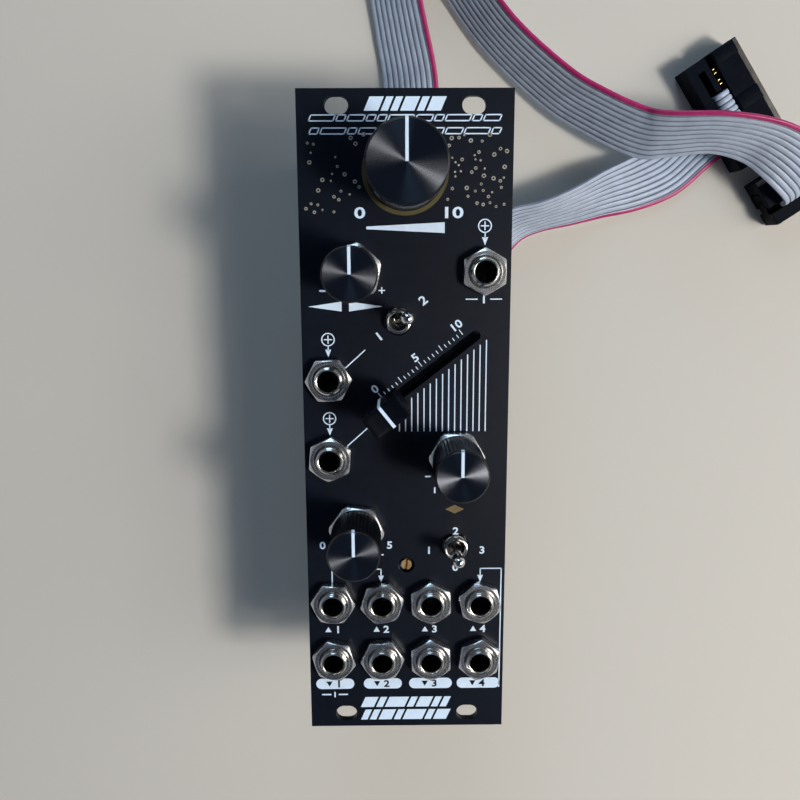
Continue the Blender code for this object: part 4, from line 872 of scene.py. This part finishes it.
def make_toggle(name, turn, lean):
    """A toggle switch: body, clamp plate, bushing with a rolled rim, and a lever that swells to its tip."""
    node, lever = f"toggle_body_{name}", f"toggle_lever_{name}"
    (_, _, base), (_, _, rim) = extent(node)
    at = over(node, turn=turn)
    shape = bmesh.new()
    block(shape, 0.0, 0.0, 5.0, 2.5, base + 0.2, base + 7.9, at, 0.25)
    block(shape, 0.0, 0.0, 4.0, 2.56, base + 1.2, base + 6.4, at, 0.1)
    finish(f"{node}_housing", shape, "blue_plastic", node=node)
    shape = bmesh.new()
    block(shape, 0.0, 0.0, 5.05, 2.52, base + 7.85, base + 8.6, at, 0.15)
    for side in SIDES:
        block(shape, side * 4.95, 0.0, 0.15, 1.5, base + 0.6, base + 8.2, at, 0.06)
    for x in (-3.0, 0.0, 3.0):
        block(shape, x, 0.0, 0.35, 0.3, base - LEG_LENGTH, base + 0.4, at, 0.06)
    finish(f"{node}_plate", shape, "steel")
    profile = [(1.7, base + 8.6)] + thread(2.4, 0.14, base + 8.6, rim - 0.9, 0.45)
    profile += [(2.4, rim - 0.75), (2.4, rim - 0.22), (2.3, rim - 0.06), (2.12, rim), (1.92, rim - 0.04),
                (1.76, rim - 0.2), (1.7, rim - 0.55)]
    finish(f"{node}_bushing", lathe(bmesh.new(), profile, at, closed=True), "nickel", sharp=28.0)
    profile = ((0.0, base + 8.5), (1.72, base + 8.5), (1.72, rim - 1.9), (1.2, rim - 2.3), (0.0, rim - 2.3))
    finish(f"{node}_well", lathe(bmesh.new(), profile, at, 32), "black_plastic")

    tilt = over(node, PANEL_TOP - PIVOT_DEPTH, turn) @ Matrix.Rotation(lean, 4, "Y")
    tip = LEVER_REACH + PIVOT_DEPTH
    profile = [(0.0, tip)]
    for step in range(1, 9):
        angle = pi / 16 * step
        profile.append((LEVER_BALL * sin(angle), tip - LEVER_BALL + LEVER_BALL * cos(angle)))
    profile += [(1.22, tip - 2.0), (1.12, tip - 3.2), (0.98, tip - 4.6), (0.86, tip - 6.2), (0.8, 1.8),
                (0.85, 1.0), (1.1, 0.75), (1.28, 0.25), (1.3, -0.1), (1.2, -0.5), (0.6, -1.1), (0.5, -3.3),
                (0.0, -3.3)]
    shape = lathe(bmesh.new(), profile, tilt, 40)
    finish(f"{lever}_detail", shape, "chrome", f"{name}_lever", 50.0, node=lever)


def make_trimmer():
    """A trimmer in a square housing, and its slotted screw in two halves on a disc."""
    (left, front, base), (right, back, top) = extent("trimmer_body")
    shape = box(bmesh.new(), (left, front, base), (right, back, top), bevel=0.3)
    box(shape, (left + 1.0, front - 0.05, base + 1.0), (right - 1.0, back + 0.05, top - 1.2), bevel=0.1)
    finish("trimmer_body_detail", shape, "blue_plastic", node="trimmer_body")

    (left, _, base), (right, _, top) = extent("trimmer_screw")
    radius = (right - left) / 2
    at = over("trimmer_screw", turn=SCREW_TURN)
    first = asin(SCREW_SLOT / radius)
    arc = [first + (pi - 2 * first) * step / 20 for step in range(21)]
    shape = bmesh.new()
    for side in SIDES:
        outline = [(radius * cos(angle), side * radius * sin(angle)) for angle in arc]
        inner = [(x * 0.93, y * 0.93 + side * 0.02) for x, y in outline]
        skin(shape, [[at @ Vector((x, y, z)) for x, y in row]
                     for row, z in ((outline, top - 0.62), (outline, top - 0.1), (inner, top))])
    lathe(shape, [(0.0, base), (radius, base), (radius, top - 0.6), (0.0, top - 0.6)], at, 40)
    finish("trimmer_screw_detail", shape, "brass", "trimmer", 30.0, node="trimmer_screw")


# Panel and its print

def curve_mesh(curve):
    """The mesh of a curve or a text."""
    holder = linked("holder", curve)
    depsgraph = bpy.context.evaluated_depsgraph_get()
    mesh = bpy.data.meshes.new_from_object(holder.evaluated_get(depsgraph))
    bpy.data.objects.remove(holder)
    return mesh


def make_panel():
    """The panel with round holes and slots, from flat outlines that are filled and chamfered."""
    (left, front, _), (right, back, _) = extent("front_panel")
    curve = bpy.data.curves.new("panel_outline", "CURVE")
    curve.dimensions, curve.fill_mode = "2D", "BOTH"
    curve.extrude = PANEL_THICKNESS / 2 - PANEL_EDGE
    curve.bevel_depth, curve.bevel_resolution = PANEL_EDGE, 1
    curve.offset = -PANEL_EDGE
    outlines = [[(i * (right - left) / 2, j * (back - front) / 2) for i, j in SQUARE]]
    slot = rounded(MOUNT_LENGTH, MOUNT_WIDTH, MOUNT_WIDTH / 2 - 0.001, 10)
    outlines += [[(x + i * MOUNT_X, y + j * MOUNT_Y) for x, y in slot] for i in SIDES for j in SIDES]
    holes = [(f"jack_nut_{name}", JACK_HOLE) for name in JACKS]
    holes += [(f"pot_nut_{name}", POT_HOLE) for name in POTS]
    holes += [(f"toggle_body_{name}", TOGGLE_HOLE) for name in TOGGLES] + [("trimmer_screw", TRIMMER_HOLE)]
    for node, radius in holes:
        centre = middle(node)
        outlines.append([(centre.x + radius * cos(TAU * step / 40), centre.y + radius * sin(TAU * step / 40))
                         for step in range(40)])
    centre = middle("fader_frame")
    turn = Matrix.Rotation(FADER_ANGLE, 2)
    slot = [turn @ Vector(point) for point in rounded(SLOT_LENGTH, SLOT_WIDTH, SLOT_WIDTH / 2 - 0.001, 8)]
    outlines.append([(centre.x + point.x, centre.y + point.y) for point in slot])
    for outline in outlines:
        spline = curve.splines.new("POLY")
        spline.points.add(len(outline) - 1)
        for point, (x, y) in zip(spline.points, outline):
            point.co = (x, y, 0.0, 1.0)
        spline.use_cyclic_u = True
    mesh = curve_mesh(curve)
    shape = bmesh.new()
    shape.from_mesh(mesh)
    bpy.data.meshes.remove(mesh)
    bmesh.ops.remove_doubles(shape, verts=shape.verts, dist=0.001)
    bmesh.ops.translate(shape, verts=shape.verts, vec=(0, 0, PANEL_TOP - PANEL_THICKNESS / 2))
    finish("front_panel_detail", shape, "panel", sharp=10.0, node="front_panel")


class Print:
    """Ink on the panel: flat outlines a little above its surface."""

    def __init__(self, level=0.0):
        self.shape = bmesh.new()
        self.low = PANEL_TOP + INK_LIFT + level
        self.high = self.low + INK_DEPTH

    def outline(self, points, x=0.0, y=0.0, turn=0.0):
        prism(self.shape, points, self.low, self.high, shifted(x, y, 0.0, radians(turn)))

    def line(self, start, end, width=LINE_WIDTH):
        x, y = end[0] - start[0], end[1] - start[1]
        self.outline(rounded(hypot(x, y) + width, width, width * 0.49), (start[0] + end[0]) / 2,
                     (start[1] + end[1]) / 2, degrees(atan2(y, x)))

    def hoop(self, x, y, outer, inner, sides=36):
        """A flat ring, or a disc when its inner radius is zero."""
        profile = [(inner, self.low), (outer, self.low), (outer, self.high), (inner, self.high)]
        lathe(self.shape, profile, shifted(x, y), sides, closed=inner > 0)

    def arrow(self, x, tail, tip, head=1.15):
        self.line((x, tail), (x, tip + head * 1.2))
        self.outline([(-head / 2, head * 1.3), (0.0, 0.0), (head / 2, head * 1.3)], x, tip)

    def plus(self, x, y, reach):
        half = LINE_WIDTH / 2
        self.outline([Matrix.Rotation(pi / 2 * step, 2) @ Vector(point) for step in range(4)
                      for point in ((reach, half), (half, half), (half, reach))], x, y)

    def number(self, words, x, y, size, turn=0.0, stretch=1.15):
        """A number, centred, of a height in millimetres."""
        text = bpy.data.curves.new("number", "FONT")
        text.body = words
        text.size = size * FONT_SCALE
        text.align_x = "CENTER"
        text.extrude = (self.high - self.low) / 2
        text.offset = size * 0.035
        text.resolution_u = 3
        mesh = curve_mesh(text)
        place = shifted(x, y, (self.low + self.high) / 2, radians(turn))
        place = place @ Matrix.Diagonal((stretch, 1.0, 1.0, 1.0)) @ Matrix.Translation((0, -size / 2, 0))
        mesh.transform(place)
        self.shape.from_mesh(mesh)
        bpy.data.meshes.remove(mesh)

    def done(self, name, material):
        finish(name, self.shape, material, sharp=30.0)


def slanted_row(ink, x, y, length, height, shares, hollow=False):
    """A row of slanted blocks, or of their outlines, whose widths follow a list of shares."""
    unit = length / (sum(shares) + 0.35 * (len(shares) - 1))
    left = x - length / 2
    lean = height * 0.22
    for share in shares:
        right = left + unit * share
        corners = [(left - lean, y - height / 2), (right - lean, y - height / 2),
                   (right + lean, y + height / 2), (left + lean, y + height / 2)]
        if hollow:
            for start, end in zip(corners, corners[1:] + corners[:1]):
                ink.line(start, end)
        else:
            ink.outline(corners)
        left = right + unit * 0.35


def print_scale(ink):
    """The slide control's scale, and rising bars under its slot."""
    along = Vector((cos(FADER_ANGLE), sin(FADER_ANGLE)))
    across = Vector((-along.y, along.x))
    centre = middle("fader_frame").xy
    for step in range(FADER_TRAVEL + 1):
        place = centre + along * (step - FADER_TRAVEL / 2)
        tick = place + across * 1.75
        ink.line(tick, tick + across * (0.6 if step % 5 else 1.1), 0.16)
        if step % 10 == 0:
            ink.number(str(step // 2), *(place + across * 3.9), 1.55, FADER_SLANT)
    for step in range(RAMP_BARS):
        x = RAMP_START + RAMP_STEP * step
        top = centre.y + (x - centre.x) * tan(FADER_ANGLE) - 2.6
        ink.line((x, RAMP_BASE), (x, max(RAMP_BASE + 1.0, top)))


def print_columns(ink, dark):
    """A number and a wedge above and below each of the lower jacks' four columns."""
    for column in range(4):
        x = (column - 1.5) * COLUMN_PITCH
        ink.number(str(column + 1), x + 0.8, UPPER_MARKS, 1.5)
        ink.outline([(-0.65, -0.55), (0.65, -0.55), (0.0, 0.6)], x - 1.2, UPPER_MARKS)
        ink.outline(rounded(9.0 if column > 1 else 8.0, 2.35, 1.15), x, LOWER_MARKS)
        dark.number(str(column + 1), x + 0.8, LOWER_MARKS, 1.5)
        dark.outline([(-0.65, 0.55), (0.0, -0.6), (0.65, 0.55)], x - 1.2, LOWER_MARKS)


def scatter_dots(count, side, chance):
    """Places and radii of plated dots on one side of the large dial."""
    dots = []
    while len(dots) < count:
        x = side * chance.uniform(*DOT_REACH)
        y = chance.uniform(*DOT_HEIGHTS)
        radius = chance.choice(DOT_RADII)
        printed = abs(x) < 12.2 and y < 44.2 or x > 12.5 and y < 42.5
        if hypot(x, y - DIAL_Y) > 9.0 and not printed and all(
                hypot(x - a, y - b) > r + radius + 0.35 for a, b, r in dots):
            dots.append((x, y, radius))
    return dots


def print_panel():
    """The white ink, the dark marks on it, the ring, the diamond and the plated dots."""
    ink, dark = Print(), Print(0.032)
    for row in BLOCK_ROWS:
        slanted_row(ink, *row)
    for draw, rows in ((ink.number, NUMBERS), (ink.line, LINES), (ink.arrow, ARROWS), (ink.outline, WEDGES)):
        for row in rows:
            draw(*row)
    for x, y in RINGED_PLUSES:
        ink.hoop(x, y, SIGN_RADIUS, SIGN_RADIUS - LINE_WIDTH)
        ink.plus(x, y, RINGED_REACH)
    ink.plus(*BARE_PLUS)
    print_scale(ink)
    print_columns(ink, dark)
    ink.done("panel_print", "print_white")
    dark.done("panel_print_dark", "panel")
    ink = Print()
    ink.hoop(0.0, DIAL_Y, RING_OUTER, RING_INNER, 120)
    ink.done("panel_ring", "olive")
    ink = Print()
    ink.outline(*DIAMOND)
    ink.done("panel_diamond", "gold_ink")
    ink = Print()
    chance = random.Random(DOT_SEED)
    for side, count in DOT_COUNTS:
        for x, y, radius in scatter_dots(count, side, chance):
            ink.hoop(x, y, radius, radius * 0.45 if radius > 0.25 else 0.0, 20)
    ink.done("panel_dots", "plating")


# Boards and what is soldered on them

def around(x, y, half_x, half_y):
    """A flat box about a place, as its lowest and highest X and Y."""
    return x - half_x, y - half_y, x + half_x, y + half_y


def footprint(node):
    low, high = extent(node)
    return low[0], low[1], high[0], high[1]


def scattered(count, keep_out, chance, margin):
    """Free places on a board, clear of the boxes in keep_out."""
    places = []
    for _ in range(4000):
        if len(places) == count:
            break
        x = chance.uniform(-BOARD_WIDTH / 2 + margin, BOARD_WIDTH / 2 - margin)
        y = chance.uniform(-BOARD_HEIGHT / 2 + margin, BOARD_HEIGHT / 2 - margin)
        taken = keep_out + [around(px, py, 1.4, 1.4) for px, py, _ in places]
        if all(not (x0 - 1.3 < x < x1 + 1.3 and y0 - 1.3 < y < y1 + 1.3) for x0, y0, x1, y1 in taken):
            places.append((x, y, chance.choice((0.0, pi / 2))))
    return places


def make_plate(node, low):
    """A circuit board with plated holes for its two screws."""
    high = low + BOARD_THICKNESS
    shape = bmesh.new()
    block(shape, 0.0, 0.0, BOARD_WIDTH / 2, BOARD_HEIGHT / 2, low, high, bevel=0.06)
    for face in shape.faces:
        face.normal_update()
        face.material_index = int(abs(face.normal.z) < 0.5)
    finish(f"{node}_plate", shape, "board board_edge", node=node)
    outer = STANDOFF_HEAD + 0.5
    inner = outer * 0.45
    shape = bmesh.new()
    for x, y in STANDOFF_PLACES.values():
        for level in (low - 0.04, high):
            lathe(shape, [(inner, level), (outer, level), (outer, level + 0.04), (inner, level + 0.04)],
                  shifted(x, y), 16, closed=True)
    finish(f"{node}_pads", shape, "gold")


def solder_joints(name, places, level, up):
    """A cone of solder about each leg, on one side of a board."""
    shape = bmesh.new()
    for x, y in places:
        lathe(shape, [(0.0, level + up * 1.0), (0.22, level + up * 0.95), (0.36, level + up * 0.5),
                      (0.62, level + up * 0.14), (0.85, level), (0.0, level)], shifted(x, y), 12)
    finish(name, shape, "tin", sharp=60.0)


def make_small_parts(name, places, level, up):
    """Surface-mounted resistors and capacitors in turn: a body between two tinned ends."""
    bodies, ends = bmesh.new(), bmesh.new()
    for index, (x, y, turn) in enumerate(places):
        at = shifted(x, y, level, turn)
        low, high = sorted((0.0, up * (0.45, 0.8)[index % 2]))
        block(bodies, 0.0, 0.0, 0.55, 0.4, low, high, at, 0.04, index % 2)
        for side in SIDES:
            block(ends, side * 0.75, 0.0, 0.25, 0.42, low, high, at, 0.06)
    finish(f"{name}_bodies", bodies, "black_plastic ceramic")
    finish(f"{name}_ends", ends, "tin")


def make_chips():
    """Small-outline chips on the rear of the main board, with seven bent leads a side."""
    bodies, leads = bmesh.new(), bmesh.new()
    for y in CHIP_ROWS:
        for x in (-CHIP_COLUMN, CHIP_COLUMN):
            at = shifted(x, y)
            block(bodies, 0.0, 0.0, 1.95, 4.95, MAIN_REAR - 1.65, MAIN_REAR - 0.2, at, 0.16)
            for pin in range(7):
                for side in SIDES:
                    place = at @ shifted(side * 1.9, (pin - 3) * CHIP_PITCH, 0.0, 0.0 if side > 0 else pi)
                    for near, far, low, high in CHIP_LEAD:
                        box(leads, (near, -0.2, MAIN_REAR - low), (far, 0.2, MAIN_REAR - high), place)
    finish("chip_bodies", bodies, "black_plastic")
    finish("chip_leads", leads, "tin")


def make_capacitors():
    """Electrolytic capacitors: a shrunk sleeve with a stripe over a can whose top is scored. The scores are
    thin black marks, painted shade for their grooves.
    """
    sleeves, tops, stripes = bmesh.new(), bmesh.new(), bmesh.new()
    for x, y in CAPACITOR_PLACES:
        at = shifted(x, y)
        lathe(sleeves, [(0.0, 12.85)] + [(CAPACITOR_RADIUS - inset, height) for inset, height in SLEEVE]
              + [(0.0, 0.1)], at, 40)
        lathe(tops, [(0.0, 0.3), (CAPACITOR_RADIUS - 0.6, 0.3), (CAPACITOR_RADIUS - 0.7, 0.06), (0.0, 0.06)],
              at, 40)
        # Thin black bars for the scored cross on the top: painted shade for its grooves.
        for turn in (0.0, pi / 2):
            block(stripes, 0.0, 0.0, 1.7, 0.09, 0.0, 0.08, at @ shifted(turn=turn), material=1)
        for step in range(4):
            box(stripes, (CAPACITOR_RADIUS - 0.02, -0.36, 1.0), (CAPACITOR_RADIUS + 0.015, 0.36, 10.4),
                at @ shifted(turn=pi / 2 + radians(12 * step - 18)))
    finish("capacitor_sleeves", sleeves, "sleeve")
    finish("capacitor_tops", tops, "aluminium")
    finish("capacitor_stripes", stripes, "print_grey black_plastic")


def make_pin_rows():
    """Two rows of pins under the control board, in sockets on the main board. Returns their places."""
    plastic, pins = bmesh.new(), bmesh.new()
    places = []
    for x in (-PIN_COLUMN, PIN_COLUMN):
        for pin in range(PIN_COUNT):
            y = PIN_ROW_Y + (pin - (PIN_COUNT - 1) / 2) * PIN_PITCH
            places.append((x, y))
            at = shifted(x, y)
            block(plastic, 0.0, 0.0, 1.25, 1.25, CONTROL_REAR - 2.4, CONTROL_REAR, at, 0.25)
            block(pins, 0.0, 0.0, 0.32, 0.32, CONTROL_REAR - 4.6, CONTROL_FRONT + 1.0, at, 0.08)
        block(plastic, x, PIN_ROW_Y, 1.25, 10.16, MAIN_FRONT, CONTROL_REAR - 2.7, bevel=0.15)
    finish("pin_row_plastic", plastic, "black_plastic")
    finish("pin_row_pins", pins, "gold")
    return places


def header_pins():
    centre = middle("power_header")
    return [(centre.x + (column - 2) * PIN_PITCH, centre.y + row * PIN_PITCH / 2)
            for column in range(5) for row in SIDES]


def make_boards():
    """Both boards with their small parts, from a seeded scatter that keeps clear of the large ones."""
    make_plate("control_board", CONTROL_REAR)
    make_plate("main_board", MAIN_REAR)
    pins = make_pin_rows()
    make_chips()
    make_capacitors()
    inner = [around(x, y, 3.4, 3.4) for x, y in STANDOFF_PLACES.values()]
    inner += [around(side * PIN_COLUMN, PIN_ROW_Y, 1.4, 10.4) for side in SIDES]
    rear = inner + [around(x, y, 3.3, 3.3) for x, y in CAPACITOR_PLACES]
    rear += [around(side * CHIP_COLUMN, y, 3.1, 5.0) for side in SIDES for y in CHIP_ROWS]
    rear.append(footprint("power_header"))
    front = inner + [footprint(node) for node in NODES if node.startswith(
        ("jack_", "pot_body", "toggle_body", "fader_frame", "trimmer_body"))]
    chance = random.Random(PARTS_SEED)
    make_small_parts("rear_parts", scattered(REAR_PARTS, rear, chance, 2.0), MAIN_REAR, -1)
    make_small_parts("inner_parts", scattered(INNER_PARTS, inner, chance, 2.0), MAIN_FRONT, 1)
    make_small_parts("front_parts", scattered(FRONT_PARTS, front, chance, 1.6), CONTROL_FRONT, 1)
    centres = [middle(f"jack_nut_{jack}") for jack in JACKS]
    legs = [(centre.x, centre.y + y) for centre in centres for y in JACK_LEGS]
    centres = [middle(f"pot_nut_{pot}") for pot in POTS]
    legs += [(centre.x + x, centre.y) for centre in centres for x in (-4.6, 4.6)]
    solder_joints("control_board_joints", legs, CONTROL_REAR, -1)
    solder_joints("main_board_joints", pins, MAIN_REAR, -1)
    solder_joints("header_joints", header_pins(), MAIN_FRONT, 1)


def make_standoffs():
    """Hexagonal pillars, and screws with cross slots in their heads. The slots are thin black marks on the
    heads, painted shade for their recesses.
    """
    reach = STANDOFF_FLATS / sqrt(3)
    low, high = MAIN_FRONT + 0.3, CONTROL_REAR - 0.3
    for node, (x, y) in STANDOFF_PLACES.items():
        (_, _, rear), (_, _, front) = extent(node)
        at = shifted(x, y)
        profile = ((1.6, low), (reach * 0.93, low), (reach, low + 0.25), (reach, high - 0.25),
                   (reach * 0.93, high), (1.6, high))
        shape = lathe(bmesh.new(), profile, at, 6, closed=True)
        finish(f"{node}_pillar", shape, "nickel", sharp=20.0, node=node)
        shape = bmesh.new()
        for base, tip in ((CONTROL_FRONT + 0.05, front), (MAIN_REAR - 0.05, rear)):
            rise = tip - base
            lathe(shape, [(0.0, base)] + [(STANDOFF_HEAD * share, base + rise * height)
                                          for share, height in SCREW_HEAD] + [(0.0, tip)], at, 36)
            bottom, top = sorted((tip, tip + rise * 0.02))
            # Thin black boxes on each head for its cross slots: painted shade for the recesses.
            for turn in (0.3, 0.3 + pi / 2):
                block(shape, 0.0, 0.0, 1.25, 0.26, bottom, top, at @ shifted(turn=turn), material=1)
        lathe(shape, [(0.0, MAIN_REAR - 0.1), (1.5, MAIN_REAR - 0.1), (1.5, CONTROL_FRONT + 0.1),
                      (0.0, CONTROL_FRONT + 0.1)], at, 24)
        finish(f"{node}_screws", shape, "steel black_plastic", sharp=40.0)


# Plugs

def dress_plug(name, place, mating, along, columns, tips_end):
    """Keys, latches, contact tips and the mating edge of a loose plug, in the plug's own axes. The edge is
    lighter brown for dust and wear, with a painted highlight where light catches it.
    X runs along its length, Z the way it mates and -Y up, off the floor."""
    z_axis = Vector(mating).normalized()
    x_axis = (Vector(along) - Vector(along).dot(z_axis) * z_axis).normalized()
    turn = Matrix((x_axis, z_axis.cross(x_axis), z_axis)).transposed().to_4x4()
    at = Matrix.Translation(Vector(place) / MM) @ turn
    half = (columns * PIN_PITCH + 2 * PLUG_END) / 2
    face = -PLUG_THICKNESS / 2
    shape = bmesh.new()
    for x0, x1 in ((-half + 0.05, -half + 2.9), (-1.6, 1.6), (half - 2.9, half - 0.05)):
        box(shape, (x0, face - 0.22, 0.95), (x1, face + 0.05, PLUG_TOP - 0.9), at, 0.07)
    for end in SIDES:
        block(shape, end * (half - 0.5), 0.0, 0.5, 1.5, -1.6, PLUG_SLIT + 3.1, at, 0.12)
        block(shape, end * (half - 0.15), 0.0, 0.15, 1.1, 2.0, 2.6, at, 0.05)
    keys = finish(f"{name}_keys", shape, "plug_plastic")
    # The mating edge: lighter brown for dust and wear, with a painted highlight where light from the right
    # catches it.
    shape = box(bmesh.new(), (-half + 0.1, face - 0.04, PLUG_TOP - 1.15),
                (half - 0.1, face + 0.9, PLUG_TOP + 0.05), at, 0.2)
    edge = finish(f"{name}_edge", shape, "plug_edge_dust_and_highlight")
    shape = bmesh.new()
    for column in range(columns):
        x = (column - (columns - 1) / 2) * PIN_PITCH
        for row in SIDES:
            block(shape, x, row * PIN_PITCH / 2, 0.55, 0.12, PLUG_TOP - 4.6, PLUG_TOP - 0.35, at, 0.04)
        for tip in (x - 0.45, x + 0.45):
            if tip < tips_end:
                box(shape, (tip - 0.13, face + 0.55, -0.35), (tip + 0.13, face + 1.75, 0.3), at, 0.04)
    contacts = finish(f"{name}_contacts", shape, "gold")
    return at, [keys, edge, contacts, NODES[f"{name}_body"], NODES[f"{name}_cap"]]


def ribbon_wrap(at, outline):
    """The ribbon's end: under the relief bar, up, over the cap and down into the plug's slit."""
    points = finer([Vector((WRAP_OFFSET, -rise, along)) for along, rise in WRAP_ROUTE], WRAP_ROWS)
    side = Vector((1, 0, 0))
    rows = []
    for index, point in enumerate(points):
        normal = side.cross(direction(points, index))
        rows.append([at @ (point + side * (across / MM) + normal * (height / MM))
                     for across, height, _ in outline])
    shape = bmesh.new()
    ribbon_skin(shape, rows, outline)
    return finish("ribbon_wrap", shape, RIBBON_MATERIALS, sharp=60.0)


def make_plugs(outline):
    """Dresses the plugs and returns the pieces that go with each cord."""
    at, bus_pieces = dress_plug("bus_plug", *PLUGS["bus_plug"])
    bus_pieces.append(ribbon_wrap(at, outline))
    _, end_pieces = dress_plug("end_plug", *PLUGS["end_plug"])
    for node in (*(f"{name}_{part}" for name in PLUGS for part in ("body", "cap")), "module_plug",
                 "power_header"):
        soften(node, "plug_plastic", 0.14)
    centre, low = middle("power_header"), extent("power_header")[0][2]
    shape = bmesh.new()
    for x, y in header_pins():
        block(shape, x, y, 0.34, 0.34, low + 1.5, MAIN_FRONT + 0.8, bevel=0.08)
    box(shape, (centre.x - 0.9, centre.y - 5.0, low + 0.4), (centre.x + 0.9, centre.y - 4.45, low + 2.2),
        bevel=0.1, material=1)
    finish("power_header_pins", shape, "gold plug_plastic")
    return end_pieces, bus_pieces


# Studio

def make_floor():
    """A pale floor that fades, far out, into the horizon behind it."""
    look = Look("floor_paper", Roughness=0.9, Specular_IOR_Level=0.2)
    reach = look.reach(look.place)
    far, glow = (look.add("ShaderNodeMapRange", {"Value": reach, "From Min": low, "From Max": high},
                          interpolation_type="SMOOTHSTEP").outputs[0]
                 for low, high in (FLOOR_FADE, FLOOR_GLOW))
    near = look.ramp(look.noise(3.0), FLOOR_STOPS)
    # Inputs 6 and 7 are the two colours that it mixes.
    faded = look.add("ShaderNodeMix", {"Factor": far, 6: near, 7: (0.0, 0.0, 0.0, 1.0)},
                     data_type="RGBA").outputs[2]
    look.shader.inputs["Emission Color"].default_value = (*HORIZON, 1.0)
    look.feed(Base_Color=faded, Emission_Strength=glow)
    shape = bmesh.new()
    bmesh.ops.create_grid(shape, x_segments=1, y_segments=1, size=FLOOR_SIZE)
    mesh = bpy.data.meshes.new("floor")
    shape.to_mesh(mesh)
    shape.free()
    mesh.materials.append(look.material)
    floor = linked("floor", mesh)
    floor.location.z = -0.05 * MM


def make_world():
    """A plain sky that has the floor's far colour at its horizon and darkens towards its top."""
    world = bpy.data.worlds.new("studio")
    bpy.context.scene.world = world
    world.use_nodes = True
    nodes, links = world.node_tree.nodes, world.node_tree.links
    place, height = nodes.new("ShaderNodeTexCoord"), nodes.new("ShaderNodeSeparateXYZ")
    sky, background = nodes.new("ShaderNodeValToRGB"), nodes["Background"]
    set_stops(sky, SKY)
    links.new(place.outputs["Generated"], height.inputs[0])
    links.new(height.outputs["Z"], sky.inputs["Fac"])
    links.new(sky.outputs["Color"], background.inputs["Color"])
    background.inputs["Strength"].default_value = 1.0


make_camera()
make_materials()
flat_outline = ribbon_outline()
make_ribbons(flat_outline, *make_plugs(flat_outline))
make_panel()
print_panel()
for jack in JACKS:
    make_nut(f"jack_nut_{jack}", JACK_FLATS, JACK_THREAD + 0.05)
    make_jack(jack)
for pot in POTS:
    make_nut(f"pot_nut_{pot}", POT_FLATS, POT_THREAD + 0.05)
    make_pot(pot)
    make_knob(pot)
make_fader()
for toggle, toggle_facts in TOGGLES.items():
    make_toggle(toggle, *toggle_facts)
make_trimmer()
make_boards()
make_standoffs()
for node_name in NODES:
    if node_name.startswith(("pot_shaft", "fader_frame", "fader_lever")):
        soften(node_name, "steel", 0.1)
for lamp_name, lamp_facts in LAMPS.items():
    make_lamp(lamp_name, *lamp_facts)
make_floor()
make_world()

bpy.context.scene.view_settings.view_transform = "Standard"
